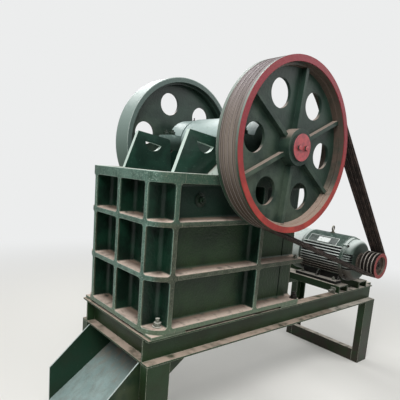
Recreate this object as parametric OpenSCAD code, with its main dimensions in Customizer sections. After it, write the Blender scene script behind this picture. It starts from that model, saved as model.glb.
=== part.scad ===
/* [Feed opening and jaws] */
// Clear width of the feed opening between the cheek plates
feed_w = 460; // [420:5:500]
// Gap between the two jaw plates at the top of the chamber
feed_gape = 250; // [230:5:270]
// Gap between the two jaw plates at the discharge
discharge_gap = 40; // [30:2:50]
// Thickness of each jaw plate over its teeth
jaw_plate_t = 60; // [50:2:70]
// Height of the teeth on the jaw plates
tooth_h = 16; // [10:1:20]
// Number of teeth across each jaw plate
tooth_count = 11; // [9:1:13]
// Thickness of the cheek plates
cheek_t = 25; // [20:1:30]
// How far the cheek plates stand above the frame at the front
cheek_rise = 218; // [190:2:240]
// Clear distance from the moving jaw to each cheek plate
jaw_side_clearance = 6; // [5:1:8]

/* [Frame] */
// From the shaft axis to the front face of the frame
front_reach = 727; // [710:1:745]
// From the shaft axis to the rear face of the frame
rear_reach = 440; // [425:1:455]
// Height of the shaft axis above the top of the frame
shaft_rise = 172; // [165:1:180]
// Height of the frame from its feet to its top flange
frame_h = 811; // [790:1:830]
// Plate thickness of the front wall
front_plate_t = 25; // [22:1:30]
// Plate thickness of the side walls
side_plate_t = 35; // [30:1:40]
// Plate thickness of the rear wall
rear_plate_t = 35; // [30:1:40]
// How far the ribs stand out from the front wall
front_rib_d = 98; // [90:1:106]
// How far the ribs stand out from the side walls
side_rib_d = 82; // [74:1:90]
// How far the ribs stand out from the rear wall
rear_rib_d = 62; // [55:1:70]
// Thickness of the upright ribs
rib_t = 25; // [20:1:30]
// From the middle to the outer pair of front ribs
front_rib_y = 263; // [255:1:266]
// Depth of the top flange
top_flange_t = 50; // [44:1:56]
// Thickness of the belts and of the foot flange
belt_t = 25; // [20:1:30]
// From the top of the frame down to the upper belt
upper_belt_drop = 234; // [220:2:250]
// From the top of the frame down to the middle belt
middle_belt_drop = 500; // [485:2:515]
// Radius of the frame's front corners in plan
front_corner_r = 110; // [100:1:115]
// Radius of the frame's rear corners in plan
rear_corner_r = 18; // [14:1:24]
// Radius in the corners of the pockets between the ribs
pocket_r = 16; // [12:1:18]
// Radius of the fillets at the foot of the ribs and belts
root_r = 20; // [18:1:24]
// Height of the foot pads
pad_h = 15; // [12:1:18]
// Width of a foot pad across the machine
pad_l = 190; // [170:5:200]

/* [Shaft and bearings] */
// Eccentric throw of the shaft
throw = 10; // [8:1:12]
// Diameter of the main journals
journal_d = 110; // [100:2:116]
// Diameter of the eccentric part inside the moving jaw
eccentric_d = 150; // [144:2:156]
// Radius of the round bearing housings
housing_r = 162; // [155:1:168]
// Width of the bearing housings along the shaft
housing_w = 130; // [120:2:136]
// Half length of the housing flanges along the machine
housing_flange_l = 235; // [225:1:245]
// Thickness of each housing flange at the split
housing_flange_t = 48; // [42:1:54]
// Running clearance round the shaft in a bearing
bearing_clearance = 0.3; // [0.2:0.05:0.4]

/* [Moving jaw] */
// Radius of the head of the moving jaw
head_r = 178; // [172:1:182]
// Thickness of the plate behind the moving jaw plate
back_plate_t = 45; // [38:1:52]
// Thickness of the ribs behind the moving jaw
back_rib_t = 36; // [30:1:42]

/* [Toggle and tension rod] */
// Height of the toggle's front end above the frame's feet
toggle_front_h = 183; // [170:1:200]
// From the back of the moving jaw plate to the toggle's front end
toggle_reach = 165; // [155:1:175]
// From the shaft axis to the toggle's rear end
toggle_rear_reach = 150; // [140:1:160]
// Height of the toggle's rear end above its front end
toggle_lift = 140; // [120:2:160]
// Height of the seat behind the toggle
toggle_seat_h = 140; // [120:2:150]
// Thickness of the toggle plate at its round ends
toggle_end_t = 44; // [38:2:50]
// Thickness of the toggle plate between its ends
toggle_plate_t = 28; // [22:1:32]
// Width of the toggle plate across the machine
toggle_w = 400; // [360:5:430]
// Diameter of the tension rod
rod_d = 30; // [26:1:32]
// Height of the tension rod above the frame's feet
rod_h = 98; // [94:1:102]
// Free clearance that the moving jaw keeps from fixed parts
moving_clearance = 5; // [5:1:8]

/* [Flywheels] */
// Outer diameter of the flywheels
wheel_d = 900; // [880:5:920]
// Width of the flywheel rims
wheel_w = 150; // [140:2:160]
// Running gap from the frame to each flywheel
wheel_gap = 45; // [40:1:55]
// Radial thickness of the rims
rim_t = 45; // [40:1:50]
// Radial height of the step at each edge of the rim
rim_step = 13; // [8:1:16]
// Depth of the step from each face of the rim
rim_step_w = 32; // [26:1:38]
// Thickness of the flywheel webs
web_t = 17; // [15:1:20]
// Diameter of the round openings in the webs
web_hole_d = 148; // [136:1:154]
// Distance of the round openings from the shaft axis
web_hole_r = 285; // [280:1:290]
// Number of round openings and of ribs in each web
web_holes = 6; // [5:1:6]
// Angle by which the far flywheel's openings trail the near one's
far_wheel_lag = 6.8; // [5:0.1:8]
// Thickness of the ribs on the webs
web_rib_t = 22; // [18:1:26]
// How far the ribs stand out from the outer side of the web
web_rib_h = 32; // [26:1:38]
// Diameter of the flywheel hubs
hub_d = 190; // [180:1:200]
// How far the hub stands out from the rim's outer face
hub_proud = 4; // [2:1:8]
// Diameter of the end caps on the shaft
cap_d = 141; // [132:1:150]
// Thickness of the end caps
cap_t = 12; // [9:1:16]

/* [Drive] */
// Distance of the motor axis behind the flywheel axis
motor_reach = 1133; // [1110:1:1150]
// Clear height between the motor's body and its rails
motor_under_gap = 5; // [3:1:8]
// Speed ratio from the motor to the flywheel
drive_ratio = 5; // [4.8:0.1:5.2]
// Spacing of the belt grooves
groove_pitch = 27; // [26:0.5:28]
// Number of belts and of their grooves
groove_count = 4; // [4]
// Width of a belt at its top
belt_top_w = 22; // [21:0.5:22.5]
// Depth of a belt
belt_h = 14; // [13:0.5:15]
// Belt top's distance below the rims of the wheel and the pulley
belt_sunk = 1; // [0.5:0.5:2]
// Distance from the outer face of the near flywheel to the pulley's outer face
pulley_inset = 15; // [12:1:18]
// Diameter of the motor's body over its fins
motor_d = 350; // [330:2:370]
// Length of the motor from its shoulder to the end of the fan cover
motor_l = 570; // [510:5:590]
// Length of the motor's drive-end bell
bell_l = 98; // [90:1:106]
// Length of the fan cover
fan_l = 116; // [105:1:125]
// Diameter of the motor shaft
motor_shaft_d = 48; // [42:1:55]
// Length of the motor shaft outside the motor
motor_shaft_l = 110; // [100:1:116]
// Number of fins on each side of the motor
fin_count = 11; // [9:1:12]
// Spacing of the fins
fin_pitch = 20; // [18:0.5:21]
// Depth of the fins
fin_h = 20; // [16:1:24]
// Spacing of the motor's feet across its axis
motor_foot_a = 279; // [270:1:290]
// Spacing of the motor's foot holes along its axis
motor_foot_b = 279; // [260:1:290]
// From the motor's shoulder to its first foot holes
motor_foot_c = 133; // [125:1:140]
// Thickness of the motor's feet
motor_foot_t = 22; // [18:1:26]
// Length, height and reach of the terminal box on the motor's far side
box_l = 150; // [135:5:165]
box_h = 110; // [100:5:120]
box_reach = 85; // [75:5:95]

/* [Stand] */
// Height of the stand from the ground to the frame's feet
stand_h = 666; // [640:2:690]
// Length of the stand
stand_l = 2242; // [2200:2:2280]
// Height of the stand's channels
channel_h = 140; // [130:1:150]
// Width of the channels' flanges
channel_b = 58; // [54:1:62]
// Web thickness of the channels
channel_web_t = 8; // [6:1:10]
// Flange thickness of the channels
channel_flange_t = 10; // [8:1:12]
// Length trimmed off the near channel's top flange at its rear end
flange_trim = 78; // [60:2:90]
// Distance of the stand's sides inside the frame's sides
stand_inset = 5; // [2:1:8]
// Height of the channel between the rear legs at the ground
ground_beam_h = 100; // [90:1:110]
// Flange width of the channel between the rear legs
ground_beam_b = 48; // [42:1:52]
// Width of the motor rails
rail_w = 120; // [114:1:126]
// Height of the motor rails
rail_h = 53; // [48:1:58]
// Diameter of the anchor holes in the foot plates
anchor_hole_d = 18; // [14:1:22]
// Thickness of the foot plates under the legs
foot_plate_t = 12; // [10:1:16]

/* [Discharge chute] */
// How far the chute reaches in front of the frame
chute_reach = 240; // [220:2:260]
// Slope of the chute floor in degrees
chute_slope = 35.5; // [33:0.5:38]
// Height of the chute's lip above the ground
chute_lip_h = 93; // [80:1:110]
// Height of the chute's sides at the lip
chute_side_h = 211; // [190:1:230]
// Width of the chute inside
chute_w = 556; // [520:2:570]
// Plate thickness of the chute
chute_t = 8; // [6:1:10]

/* [Hidden] */
$fn = 64;

frame_green = "#3c5547";
dusty_green = "#a9bab3";
stand_olive = "#3a3d30";
worn_steel = "#7f8f8c";
jaw_steel = "#6f6a63";
cap_red = "#a8484a";
motor_grey = "#7d8f86";
belt_black = "#2b2624";

// Heights, measured from the shaft axis
frame_top_z = -shaft_rise;
seat_z = frame_top_z - frame_h;
foot_z = seat_z + pad_h;
foot_top_z = foot_z + belt_t;
upper_belt_z = frame_top_z - upper_belt_drop;
middle_belt_z = frame_top_z - middle_belt_drop;
ground_z = seat_z - stand_h;
channel_low_z = seat_z - channel_h;

// Distances across the machine from its middle plane
cheek_y = feed_w / 2;
side_in_y = cheek_y + cheek_t;
side_out_y = side_in_y + side_plate_t;
frame_y = side_out_y + side_rib_d;
stand_y = frame_y - stand_inset;
stand_web_y = stand_y - channel_b;
wheel_in_y = frame_y + wheel_gap;
wheel_out_y = wheel_in_y + wheel_w;
hub_face_y = wheel_out_y + hub_proud;
cap_face_y = hub_face_y + cap_t;
jaw_half_w = cheek_y - jaw_side_clearance;

// Distances along the machine from the shaft axis, rear positive
front_x = -front_reach;
front_plate_x = front_x + front_rib_d;
front_in_x = front_plate_x + front_plate_t;
fixed_face_x = front_in_x + jaw_plate_t;
top_face_x = fixed_face_x + feed_gape;
low_face_x = fixed_face_x + discharge_gap;
rear_x = rear_reach;
rear_plate_x = rear_x - rear_rib_d;
rear_post_x = rear_plate_x - 2 * rear_plate_t;
rear_recess_y = side_in_y - 20;
front_joint_x = front_in_x + root_r + 4;
stand_front_x = front_x - stand_inset;
stand_rear_x = stand_front_x + stand_l;
chute_front_x = front_x - chute_reach;
place_x = -(chute_front_x + stand_rear_x) / 2;

// Jaw faces
jaw_top_z = frame_top_z - 18;
jaw_low_z = foot_top_z + 13;
face_rise = jaw_top_z - jaw_low_z;
face_l = sqrt(pow(top_face_x - low_face_x, 2) + pow(face_rise, 2));
face_tilt = atan2(top_face_x - low_face_x, face_rise);
eps = 1;

module placed() {
  translate([place_x, 0, -ground_z]) children();
}

// Extrudes an outline drawn in x and z between two places across the machine
module across(y0, y1) {
  translate([0, y1, 0]) rotate([90, 0, 0]) linear_extrude(y1 - y0) children();
}

module mirrored_y() {
  mirror([0, 1, 0]) children();
}

module rounded_rect(x0, x1, y0, y1, r) {
  translate([x0 + r, y0]) square([x1 - x0 - 2 * r, y1 - y0]);
  translate([x0, y0 + r]) square([x1 - x0, y1 - y0 - 2 * r]);
  for (x = [x0 + r, x1 - r], y = [y0 + r, y1 - r]) translate([x, y]) circle(r);
}

// Channel along x with its web towards the middle plane
module channel_section(h, b, web_t, flange_t) {
  difference() {
    square([b, h]);
    translate([web_t, flange_t]) square([b, h - 2 * flange_t]);
  }
}

module long_channel() {
  translate([stand_front_x, -stand_web_y, channel_low_z])
    rotate([90, 0, 90]) mirror([1, 0, 0]) linear_extrude(stand_l)
      channel_section(channel_h, channel_b, channel_web_t, channel_flange_t);
}

module near_channel() {
  color(stand_olive) placed()
    difference() {
      long_channel();
      translate([stand_rear_x - flange_trim, -stand_y - eps, seat_z - channel_flange_t - eps])
        cube([flange_trim + eps, channel_b - channel_web_t + eps, channel_flange_t + 2 * eps]);
    }
}

module far_channel() {
  color(stand_olive) placed() mirrored_y() long_channel();
}

// Channel across the stand with its web at x and its flanges to the front
module cross_channel(x) {
  translate([x, stand_web_y, channel_low_z])
    rotate([90, 0, 0]) mirror([1, 0, 0]) linear_extrude(2 * stand_web_y)
      channel_section(channel_h, channel_b, channel_web_t, channel_flange_t);
}

module front_cross_channel() {
  color(stand_olive) placed() cross_channel(stand_front_x + channel_b);
}

module middle_cross_channel() {
  color(stand_olive) placed() cross_channel(rear_x);
}

module rear_cross_channel() {
  color(stand_olive) placed() mirror([1, 0, 0]) cross_channel(-stand_rear_x + channel_b);
}

leg_h = stand_h - channel_h;
leg_hole_y = stand_web_y + (channel_b - channel_web_t) / 2;

module leg(x) {
  translate([x, -stand_y, ground_z + foot_plate_t])
    difference() {
      cube([channel_h, channel_b, leg_h - foot_plate_t]);
      translate([channel_flange_t, channel_web_t, -eps])
        cube([channel_h - 2 * channel_flange_t, channel_b, leg_h + 2 * eps]);
    }
  difference() {
    translate([x, -stand_y, ground_z]) cube([channel_h, channel_b, foot_plate_t]);
    translate([x + channel_h / 2, -leg_hole_y, ground_z - eps])
      cylinder(h = foot_plate_t + 2 * eps, d = anchor_hole_d);
  }
}

front_leg_x = stand_front_x;
rear_leg_x = stand_rear_x - channel_h;

module near_front_leg() {
  color(stand_olive) placed() leg(front_leg_x);
}

module far_front_leg() {
  color(stand_olive) placed() mirrored_y() leg(front_leg_x);
}

module near_rear_leg() {
  color(stand_olive) placed() leg(rear_leg_x);
}

module far_rear_leg() {
  color(stand_olive) placed() mirrored_y() leg(rear_leg_x);
}

module ground_beam() {
  color(stand_olive) placed()
    translate([rear_leg_x, stand_web_y, ground_z])
      rotate([90, 0, 0]) linear_extrude(2 * stand_web_y)
        channel_section(ground_beam_h, ground_beam_b, channel_web_t, channel_web_t);
}

// Motor rails, laid with the web up
module motor_rail(x) {
  translate([x - rail_w / 2, stand_y, seat_z])
    rotate([90, 0, 0]) linear_extrude(2 * stand_y)
      difference() {
        square([rail_w, rail_h]);
        translate([channel_flange_t, -eps])
          square([rail_w - 2 * channel_flange_t, rail_h - channel_web_t + eps]);
      }
}

module front_motor_rail() {
  color(stand_olive) placed() motor_rail(motor_reach - motor_foot_a / 2);
}

module rear_motor_rail() {
  color(stand_olive) placed() motor_rail(motor_reach + motor_foot_a / 2);
}

// Discharge chute
chute_lip_z = ground_z + chute_lip_h;
chute_back_x = chute_front_x + (channel_low_z - chute_lip_z) / tan(chute_slope);
chute_floor_drop = chute_t / cos(chute_slope);

module chute_floor() {
  color(worn_steel) placed() across(-chute_w / 2, chute_w / 2)
    polygon([
      [chute_front_x, chute_lip_z],
      [chute_back_x, channel_low_z],
      [chute_back_x - chute_floor_drop / tan(chute_slope), channel_low_z],
      [chute_front_x, chute_lip_z + chute_floor_drop]
    ]);
}

module chute_side() {
  across(-chute_w / 2 - chute_t, -chute_w / 2)
    polygon([
      [chute_front_x, chute_lip_z],
      [chute_back_x, channel_low_z],
      [stand_front_x + 10, channel_low_z],
      [chute_front_x, chute_lip_z + chute_side_h]
    ]);
}

module chute_near_side() {
  color(worn_steel) placed() chute_side();
}

module chute_far_side() {
  color(worn_steel) placed() mirrored_y() chute_side();
}

// Frame walls
rows = [
  [upper_belt_z, frame_top_z - top_flange_t],
  [middle_belt_z, upper_belt_z - belt_t],
  [foot_top_z, middle_belt_z - belt_t]
];
front_half_rib = rib_t / 2;

// Cut through a pocket's depth d, from its open face at 0, with filleted corners at its floor
module pocket_section(a0, a1, d) {
  translate([-eps, a0]) square([d - root_r + eps, a1 - a0]);
  translate([-eps, a0 + root_r]) square([d + eps, a1 - a0 - 2 * root_r]);
  for (a = [a0 + root_r, a1 - root_r]) translate([d - root_r, a]) circle(root_r);
}

// Pocket of depth d along x, from y = a0 to a1
module pocket(a0, a1, z0, z1, d) {
  intersection() {
    translate([0, 0, z0 - eps]) linear_extrude(z1 - z0 + 2 * eps) pocket_section(a0, a1, d);
    across(a0 - eps, a1 + eps) pocket_section(z0, z1, d);
    translate([-2 * eps, 0, 0]) rotate([90, 0, 90]) linear_extrude(d + 3 * eps)
      rounded_rect(a0, a1, z0, z1, pocket_r);
  }
}

// Middle rib of the side walls, and the outer and middle ribs of the rear wall
mid_rib_x = 5;
rear_rib_y = 140;
outer_rib_y = front_rib_y + front_half_rib;
past = root_r + 10;

// Pockets of the near side wall, which run on into the front and rear walls
module side_pockets() {
  translate([0, -frame_y, 0]) mirror([1, -1, 0])
    for (row = rows) {
      pocket(front_in_x, mid_rib_x - front_half_rib, row[0], row[1], side_rib_d);
      pocket(mid_rib_x + front_half_rib, rear_x + past, row[0], row[1], side_rib_d);
    }
}

// Upright groove at the joint of the side wall and the rear wall
joint_groove_w = 8;
joint_groove_d = 12;

module joint_groove() {
  for (row = rows)
    translate([rear_post_x - joint_groove_w / 2, -side_out_y - eps, row[0]])
      cube([joint_groove_w, joint_groove_d + eps, row[1] - row[0]]);
}

// Foot pads under the front and rear walls, and under the ends of the near side wall
module foot_pads(x0, x1) {
  for (s = [-1, 1])
    translate([x0, s > 0 ? stand_y - pad_l : -stand_y, seat_z])
      cube([x1 - x0, pad_l, pad_h]);
}

module side_pad(x0, x1) {
  translate([x0, -stand_y, seat_z]) cube([x1 - x0, stand_y - side_in_y, pad_h + eps]);
}

module front_wall() {
  color(frame_green) placed() {
    difference() {
      translate([0, 0, foot_z]) linear_extrude(frame_top_z - foot_z) {
        intersection() {
          union() {
            translate([front_x, -frame_y]) square([front_in_x - front_x, 2 * frame_y]);
            for (y = [-frame_y, side_in_y])
              translate([front_in_x - eps, y])
                square([front_joint_x - front_in_x + eps, frame_y - side_in_y]);
          }
          rounded_rect(front_x, rear_x, -frame_y, frame_y, front_corner_r);
        }
      }
      for (s = [0, 1]) mirror([0, s, 0]) {
        translate([front_x, 0, 0])
          for (row = rows) {
            pocket(front_half_rib, front_rib_y - front_half_rib, row[0], row[1], front_rib_d);
            pocket(outer_rib_y, frame_y + past, row[0], row[1], front_rib_d);
          }
        side_pockets();
      }
    }
    foot_pads(front_x + 2 * stand_inset, front_in_x);
    for (s = [0, 1]) mirror([0, s, 0]) side_pad(front_in_x - eps, front_joint_x);
  }
}

// Shoulders that carry the bearing housings; the plate's slope starts behind the ribs' slope
saddle_z = -housing_flange_t;
saddle_slope_x = housing_flange_l + (frame_top_z - saddle_z) / -tan(41);
plate_slope_back = 27;

module side_outline() {
  polygon([
    [front_joint_x, foot_z],
    [rear_post_x, foot_z],
    [rear_post_x, frame_top_z],
    [housing_flange_l, saddle_z],
    [plate_slope_back - housing_flange_l, saddle_z],
    [plate_slope_back - saddle_slope_x, frame_top_z],
    [front_joint_x, frame_top_z]
  ]);
}

module saddle_outline() {
  intersection() {
    polygon([
      [-saddle_slope_x, frame_top_z],
      [-housing_flange_l, saddle_z],
      [housing_flange_l, saddle_z],
      [rear_post_x, frame_top_z],
      [rear_post_x, frame_top_z - 40],
      [-saddle_slope_x, frame_top_z - 40]
    ]);
    translate([-saddle_slope_x, frame_top_z - 40]) square([saddle_slope_x + rear_post_x, 2 * housing_r]);
  }
}

front_side_pad_l = 96;
rear_side_pad_l = 44;

module side_wall() {
  difference() {
    union() {
      across(-side_out_y, -side_in_y) side_outline();
      across(-frame_y, -side_out_y + eps)
        translate([front_joint_x, foot_z])
          square([rear_post_x - front_joint_x, frame_top_z - foot_z]);
      across(-frame_y, -side_out_y + eps) saddle_outline();
    }
    side_pockets();
    joint_groove();
    translate([0, -frame_y - eps, 0]) rotate([-90, 0, 0])
      cylinder(h = side_rib_d + side_plate_t + 2 * eps, r = housing_r + bearing_clearance, $fn = 96);
  }
  side_pad(front_joint_x, front_in_x + front_side_pad_l);
  side_pad(rear_post_x - rear_side_pad_l, rear_post_x);
}

module near_side_wall() {
  color(frame_green) placed() side_wall();
}

module far_side_wall() {
  color(frame_green) placed() mirrored_y() side_wall();
}

module rear_wall() {
  color(frame_green) placed() {
    difference() {
      translate([0, 0, foot_z]) linear_extrude(frame_top_z - foot_z) {
        intersection() {
          translate([rear_post_x, -frame_y]) square([rear_x - rear_post_x, 2 * frame_y]);
          rounded_rect(front_x, rear_x, -frame_y, frame_y, rear_corner_r);
        }
      }
      translate([rear_x, 0, 0]) mirror([1, 0, 0])
        for (row = rows) {
          for (s = [0, 1]) mirror([0, s, 0]) {
            pocket(rear_rib_y + front_half_rib, front_rib_y - front_half_rib, row[0], row[1], rear_rib_d);
            pocket(outer_rib_y, frame_y + past, row[0], row[1], rear_rib_d);
          }
          pocket(-rear_rib_y + front_half_rib, rear_rib_y - front_half_rib, row[0], row[1], rear_rib_d);
        }
      for (s = [0, 1]) mirror([0, s, 0]) {
        side_pockets();
        joint_groove();
      }
      translate([rear_post_x - eps, -rear_recess_y, foot_z - eps])
        cube([rear_plate_t + eps, 2 * rear_recess_y, frame_h]);
      translate([rear_post_x, 0, rod_path_z]) rotate([0, 90, 0])
        cylinder(h = rear_x, r = rod_free_r + 2);
    }
    foot_pads(rear_post_x, rear_x - 2 * stand_inset);
  }
}

// Jaw plates with upright teeth
module tooth_outline(half_w, t) {
  pitch = 2 * half_w / tooth_count;
  polygon(concat(
    [[t, -half_w]],
    [for (i = [0 : tooth_count - 1], k = [0, 0.25, 0.5, 0.75])
      [k == 0.25 || k == 0.5 ? 0 : tooth_h, -half_w + (i + k + 0.125) * pitch]],
    [[tooth_h, half_w], [t, half_w]]
  ));
}

module fixed_jaw_plate() {
  color(jaw_steel) placed()
    translate([fixed_face_x, 0, jaw_low_z]) linear_extrude(face_rise)
      mirror([1, 0, 0]) tooth_outline(cheek_y, jaw_plate_t);
}

module moving_jaw_plate() {
  color(jaw_steel) placed()
    translate([low_face_x, 0, jaw_low_z]) rotate([0, face_tilt, 0]) linear_extrude(face_l)
      tooth_outline(jaw_half_w, jaw_plate_t);
}

// Cheek plates
cheek_top_z = frame_top_z + cheek_rise;
cheek_back_x = -head_r - 72;
cheek_slope = 7.5;
cheek_corner_r = 18;
cheek_hole_r = 61;
cheek_hole_x = cheek_back_x - 125;

module cheek_outline() {
  front_foot_x = front_in_x + 38;
  front_top_x = front_in_x + 119;
  back_top_z = cheek_top_z - (cheek_back_x - front_top_x) * tan(cheek_slope);
  difference() {
    union() {
      polygon([
        [front_in_x, foot_top_z],
        [low_face_x + 150, foot_top_z],
        [-head_r - 20, frame_top_z],
        [cheek_back_x + 18, frame_top_z],
        [cheek_back_x, back_top_z - cheek_corner_r],
        [cheek_back_x - cheek_corner_r, back_top_z + cheek_corner_r * tan(cheek_slope)],
        [front_top_x, cheek_top_z],
        [front_foot_x, frame_top_z],
        [front_in_x, frame_top_z]
      ]);
      translate([cheek_back_x - cheek_corner_r, back_top_z - cheek_corner_r]) circle(cheek_corner_r);
    }
    translate([cheek_hole_x, cheek_top_z - 65]) rotate(-cheek_slope - 3)
      intersection() {
        translate([0, 15]) circle(cheek_hole_r);
        translate([-cheek_hole_r, -cheek_hole_r]) square([2 * cheek_hole_r, cheek_hole_r]);
      }
  }
}

module cheek_plate() {
  across(-side_in_y, -cheek_y) cheek_outline();
}

module near_cheek_plate() {
  color(frame_green) placed() cheek_plate();
}

module far_cheek_plate() {
  color(frame_green) placed() mirrored_y() cheek_plate();
}

// Bearing housings, split at the shaft axis
module housing_half() {
  across(-side_in_y - housing_w, -side_in_y)
    difference() {
      union() {
        intersection() {
          circle(housing_r, $fn = 96);
          translate([-housing_r, 0]) square([2 * housing_r, housing_r]);
        }
        translate([-housing_flange_l, 0]) square([2 * housing_flange_l, housing_flange_t]);
      }
      circle(journal_d / 2 + bearing_clearance);
    }
}

module near_bearing_base() {
  color(frame_green) placed() mirror([0, 0, 1]) housing_half();
}

module far_bearing_base() {
  color(frame_green) placed() mirrored_y() mirror([0, 0, 1]) housing_half();
}

module near_bearing_cap() {
  color(dusty_green) placed() housing_half();
}

module far_bearing_cap() {
  color(dusty_green) placed() mirrored_y() housing_half();
}

// Eccentric shaft
shaft_collar_r = journal_d / 2 + 22;

module along_y_cylinder(y0, y1, r) {
  translate([0, y1, 0]) rotate([90, 0, 0]) cylinder(h = y1 - y0, r = r);
}

module eccentric_shaft() {
  color(worn_steel) placed() {
    along_y_cylinder(-hub_face_y, hub_face_y, journal_d / 2);
    translate([0, 0, -throw]) along_y_cylinder(-jaw_half_w, jaw_half_w, eccentric_d / 2);
    for (s = [-1, 1])
      along_y_cylinder(
        s > 0 ? side_in_y + housing_w + 5 : -wheel_in_y,
        s > 0 ? wheel_in_y : -side_in_y - housing_w - 5,
        shaft_collar_r);
  }
}

// Flywheels
wheel_r = wheel_d / 2;
rim_in_r = wheel_r - rim_t;
web_out_y = -(wheel_in_y + 0.6 * wheel_w);
belt_low_w = belt_top_w - 2 * belt_h * tan(18);
groove_fit = 0.3;
groove_floor = 3;
pulley_face_y = -(wheel_out_y - pulley_inset);
groove_edge = 14;
pulley_w = (groove_count - 1) * groove_pitch + 2 * groove_edge;
groove_ys = [for (i = [0 : groove_count - 1]) pulley_face_y + groove_edge + i * groove_pitch];
wheel_belt_r = wheel_r - belt_sunk;
wheel_pitch_r = wheel_r - belt_sunk - 4;
pulley_pitch_r = wheel_pitch_r / drive_ratio;
pulley_belt_r = pulley_pitch_r + 4;
pulley_r = pulley_belt_r + belt_sunk;

module groove_outline(top_r) {
  low_r = top_r - belt_h - groove_floor;
  slope = tan(18);
  half_top = belt_top_w / 2 + groove_fit;
  half_low = half_top - (top_r - low_r) * slope;
  half_out = half_top + 10 * slope;
  polygon([[low_r, -half_low], [top_r + 10, -half_out], [top_r + 10, half_out], [low_r, half_low]]);
}

module groove_ring(y, top_r) {
  translate([0, y, 0]) rotate([90, 0, 0]) rotate_extrude($fn = 128) groove_outline(top_r);
}

module wheel_body(lag = 0) {
  difference() {
    union() {
      difference() {
        along_y_cylinder(-wheel_out_y, -wheel_in_y, wheel_r, $fn = 128);
        along_y_cylinder(-wheel_out_y - eps, -wheel_in_y + eps, rim_in_r, $fn = 128);
        for (y0 = [-wheel_out_y - eps, -wheel_in_y - rim_step_w])
          along_y_cylinder(y0, y0 + rim_step_w + eps, rim_in_r + rim_step, $fn = 128);
      }
      along_y_cylinder(web_out_y, web_out_y + web_t, rim_in_r + eps, $fn = 128);
      along_y_cylinder(-hub_face_y, -wheel_in_y, hub_d / 2);
      for (i = [0 : web_holes - 1])
        rotate([0, lag - 25 - i * 360 / web_holes, 0])
          translate([0, web_out_y - web_rib_h, -web_rib_t / 2])
            cube([rim_in_r + eps, web_rib_h + eps, web_rib_t]);
    }
    along_y_cylinder(-hub_face_y - eps, -wheel_in_y + eps, journal_d / 2);
    for (i = [0 : web_holes - 1])
      rotate([0, lag + 5 - i * 360 / web_holes, 0])
        translate([web_hole_r, 0, 0]) along_y_cylinder(-wheel_out_y, -wheel_in_y, web_hole_d / 2);
  }
}

module near_flywheel() {
  color(frame_green) placed()
    difference() {
      wheel_body();
      for (y = groove_ys) groove_ring(y, wheel_belt_r);
    }
}

module far_flywheel() {
  color(frame_green) placed() mirrored_y() wheel_body(far_wheel_lag);
}

module shaft_end_caps() {
  color(cap_red) placed()
    for (s = [-1, 1])
      along_y_cylinder(s > 0 ? hub_face_y : -cap_face_y, s > 0 ? cap_face_y : -hub_face_y, cap_d / 2);
}

// Moving jaw, hung on the eccentric
back_dx = cos(face_tilt);
back_dz = -sin(face_tilt);
plate_back_top = [top_face_x + jaw_plate_t * back_dx, jaw_top_z + jaw_plate_t * back_dz];
plate_back_low = [low_face_x + jaw_plate_t * back_dx, jaw_low_z + jaw_plate_t * back_dz];
toggle_front = [plate_back_low[0] + toggle_reach, seat_z + toggle_front_h];
toggle_rear = [toggle_rear_reach, toggle_front[1] + toggle_lift];
toggle_end_r = toggle_end_t / 2;
toggle_free_r = toggle_end_r + throw + moving_clearance;
rod_z = seat_z + rod_h;
rod_path_z = rod_z + throw;
rod_free_r = rod_d / 2 + throw + moving_clearance;
rod_seat_x = plate_back_low[0] + 110;

module moving_jaw() {
  rib_ys = [-jaw_half_w + back_rib_t / 2, 0, jaw_half_w - back_rib_t / 2];
  color(dusty_green) placed()
    difference() {
      union() {
        across(-jaw_half_w, jaw_half_w) {
          translate([0, -throw]) circle(head_r, $fn = 96);
          polygon([
            plate_back_top,
            plate_back_low,
            plate_back_low + back_plate_t * [back_dx, back_dz],
            plate_back_top + back_plate_t * [back_dx, back_dz]
          ]);
          polygon([
            plate_back_top,
            [-head_r * 0.9, -throw + head_r * 0.3],
            [0, -throw],
            [0, -throw - head_r * 0.9],
            plate_back_top + back_plate_t * [back_dx, back_dz]
          ]);
          translate([toggle_front[0] - 95, toggle_front[1] - 60]) square([95 - 8, 120]);
        }
        for (y = rib_ys)
          across(y - back_rib_t / 2, y + back_rib_t / 2)
            polygon([
              plate_back_top,
              [0, -throw],
              [head_r * 0.97, -throw - head_r * 0.2],
              [toggle_front[0] + 20, toggle_front[1] + 60],
              [toggle_front[0] - 8, toggle_front[1] + 60],
              [toggle_front[0] - 8, toggle_front[1] - 60],
              [rod_seat_x, toggle_front[1] - 60],
              [rod_seat_x, rod_z - 30],
              plate_back_low
            ]);
        across(-50, 50)
          polygon([
            plate_back_low,
            plate_back_low + 80 * [-back_dz, back_dx],
            [rod_seat_x, rod_z + 30],
            [rod_seat_x, rod_z - 30]
          ]);
      }
      translate([0, 0, -throw])
        along_y_cylinder(-jaw_half_w - eps, jaw_half_w + eps, eccentric_d / 2 + bearing_clearance);
      translate([toggle_front[0], 0, toggle_front[1] - throw])
        along_y_cylinder(-jaw_half_w - eps, jaw_half_w + eps, toggle_free_r);
    }
}

// Toggle plate between the moving jaw and the rear seat
toggle_l = norm(toggle_rear - toggle_front);
toggle_angle = atan2(toggle_rear[1] - toggle_front[1], toggle_rear[0] - toggle_front[0]);

module toggle_plate() {
  color(jaw_steel) placed()
    across(-toggle_w / 2, toggle_w / 2)
      translate(toggle_front) rotate(toggle_angle) {
        circle(toggle_end_r);
        translate([toggle_l, 0]) circle(toggle_end_r);
        translate([0, -toggle_plate_t / 2]) square([toggle_l, toggle_plate_t]);
      }
}

module toggle_seat() {
  color(jaw_steel) placed()
    across(-rear_recess_y, rear_recess_y)
      difference() {
        translate([toggle_rear[0], toggle_rear[1] - toggle_seat_h / 2])
          square([rear_plate_x - rear_plate_t - toggle_rear[0], toggle_seat_h]);
        translate(toggle_rear) circle(toggle_end_r + bearing_clearance);
      }
}

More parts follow.
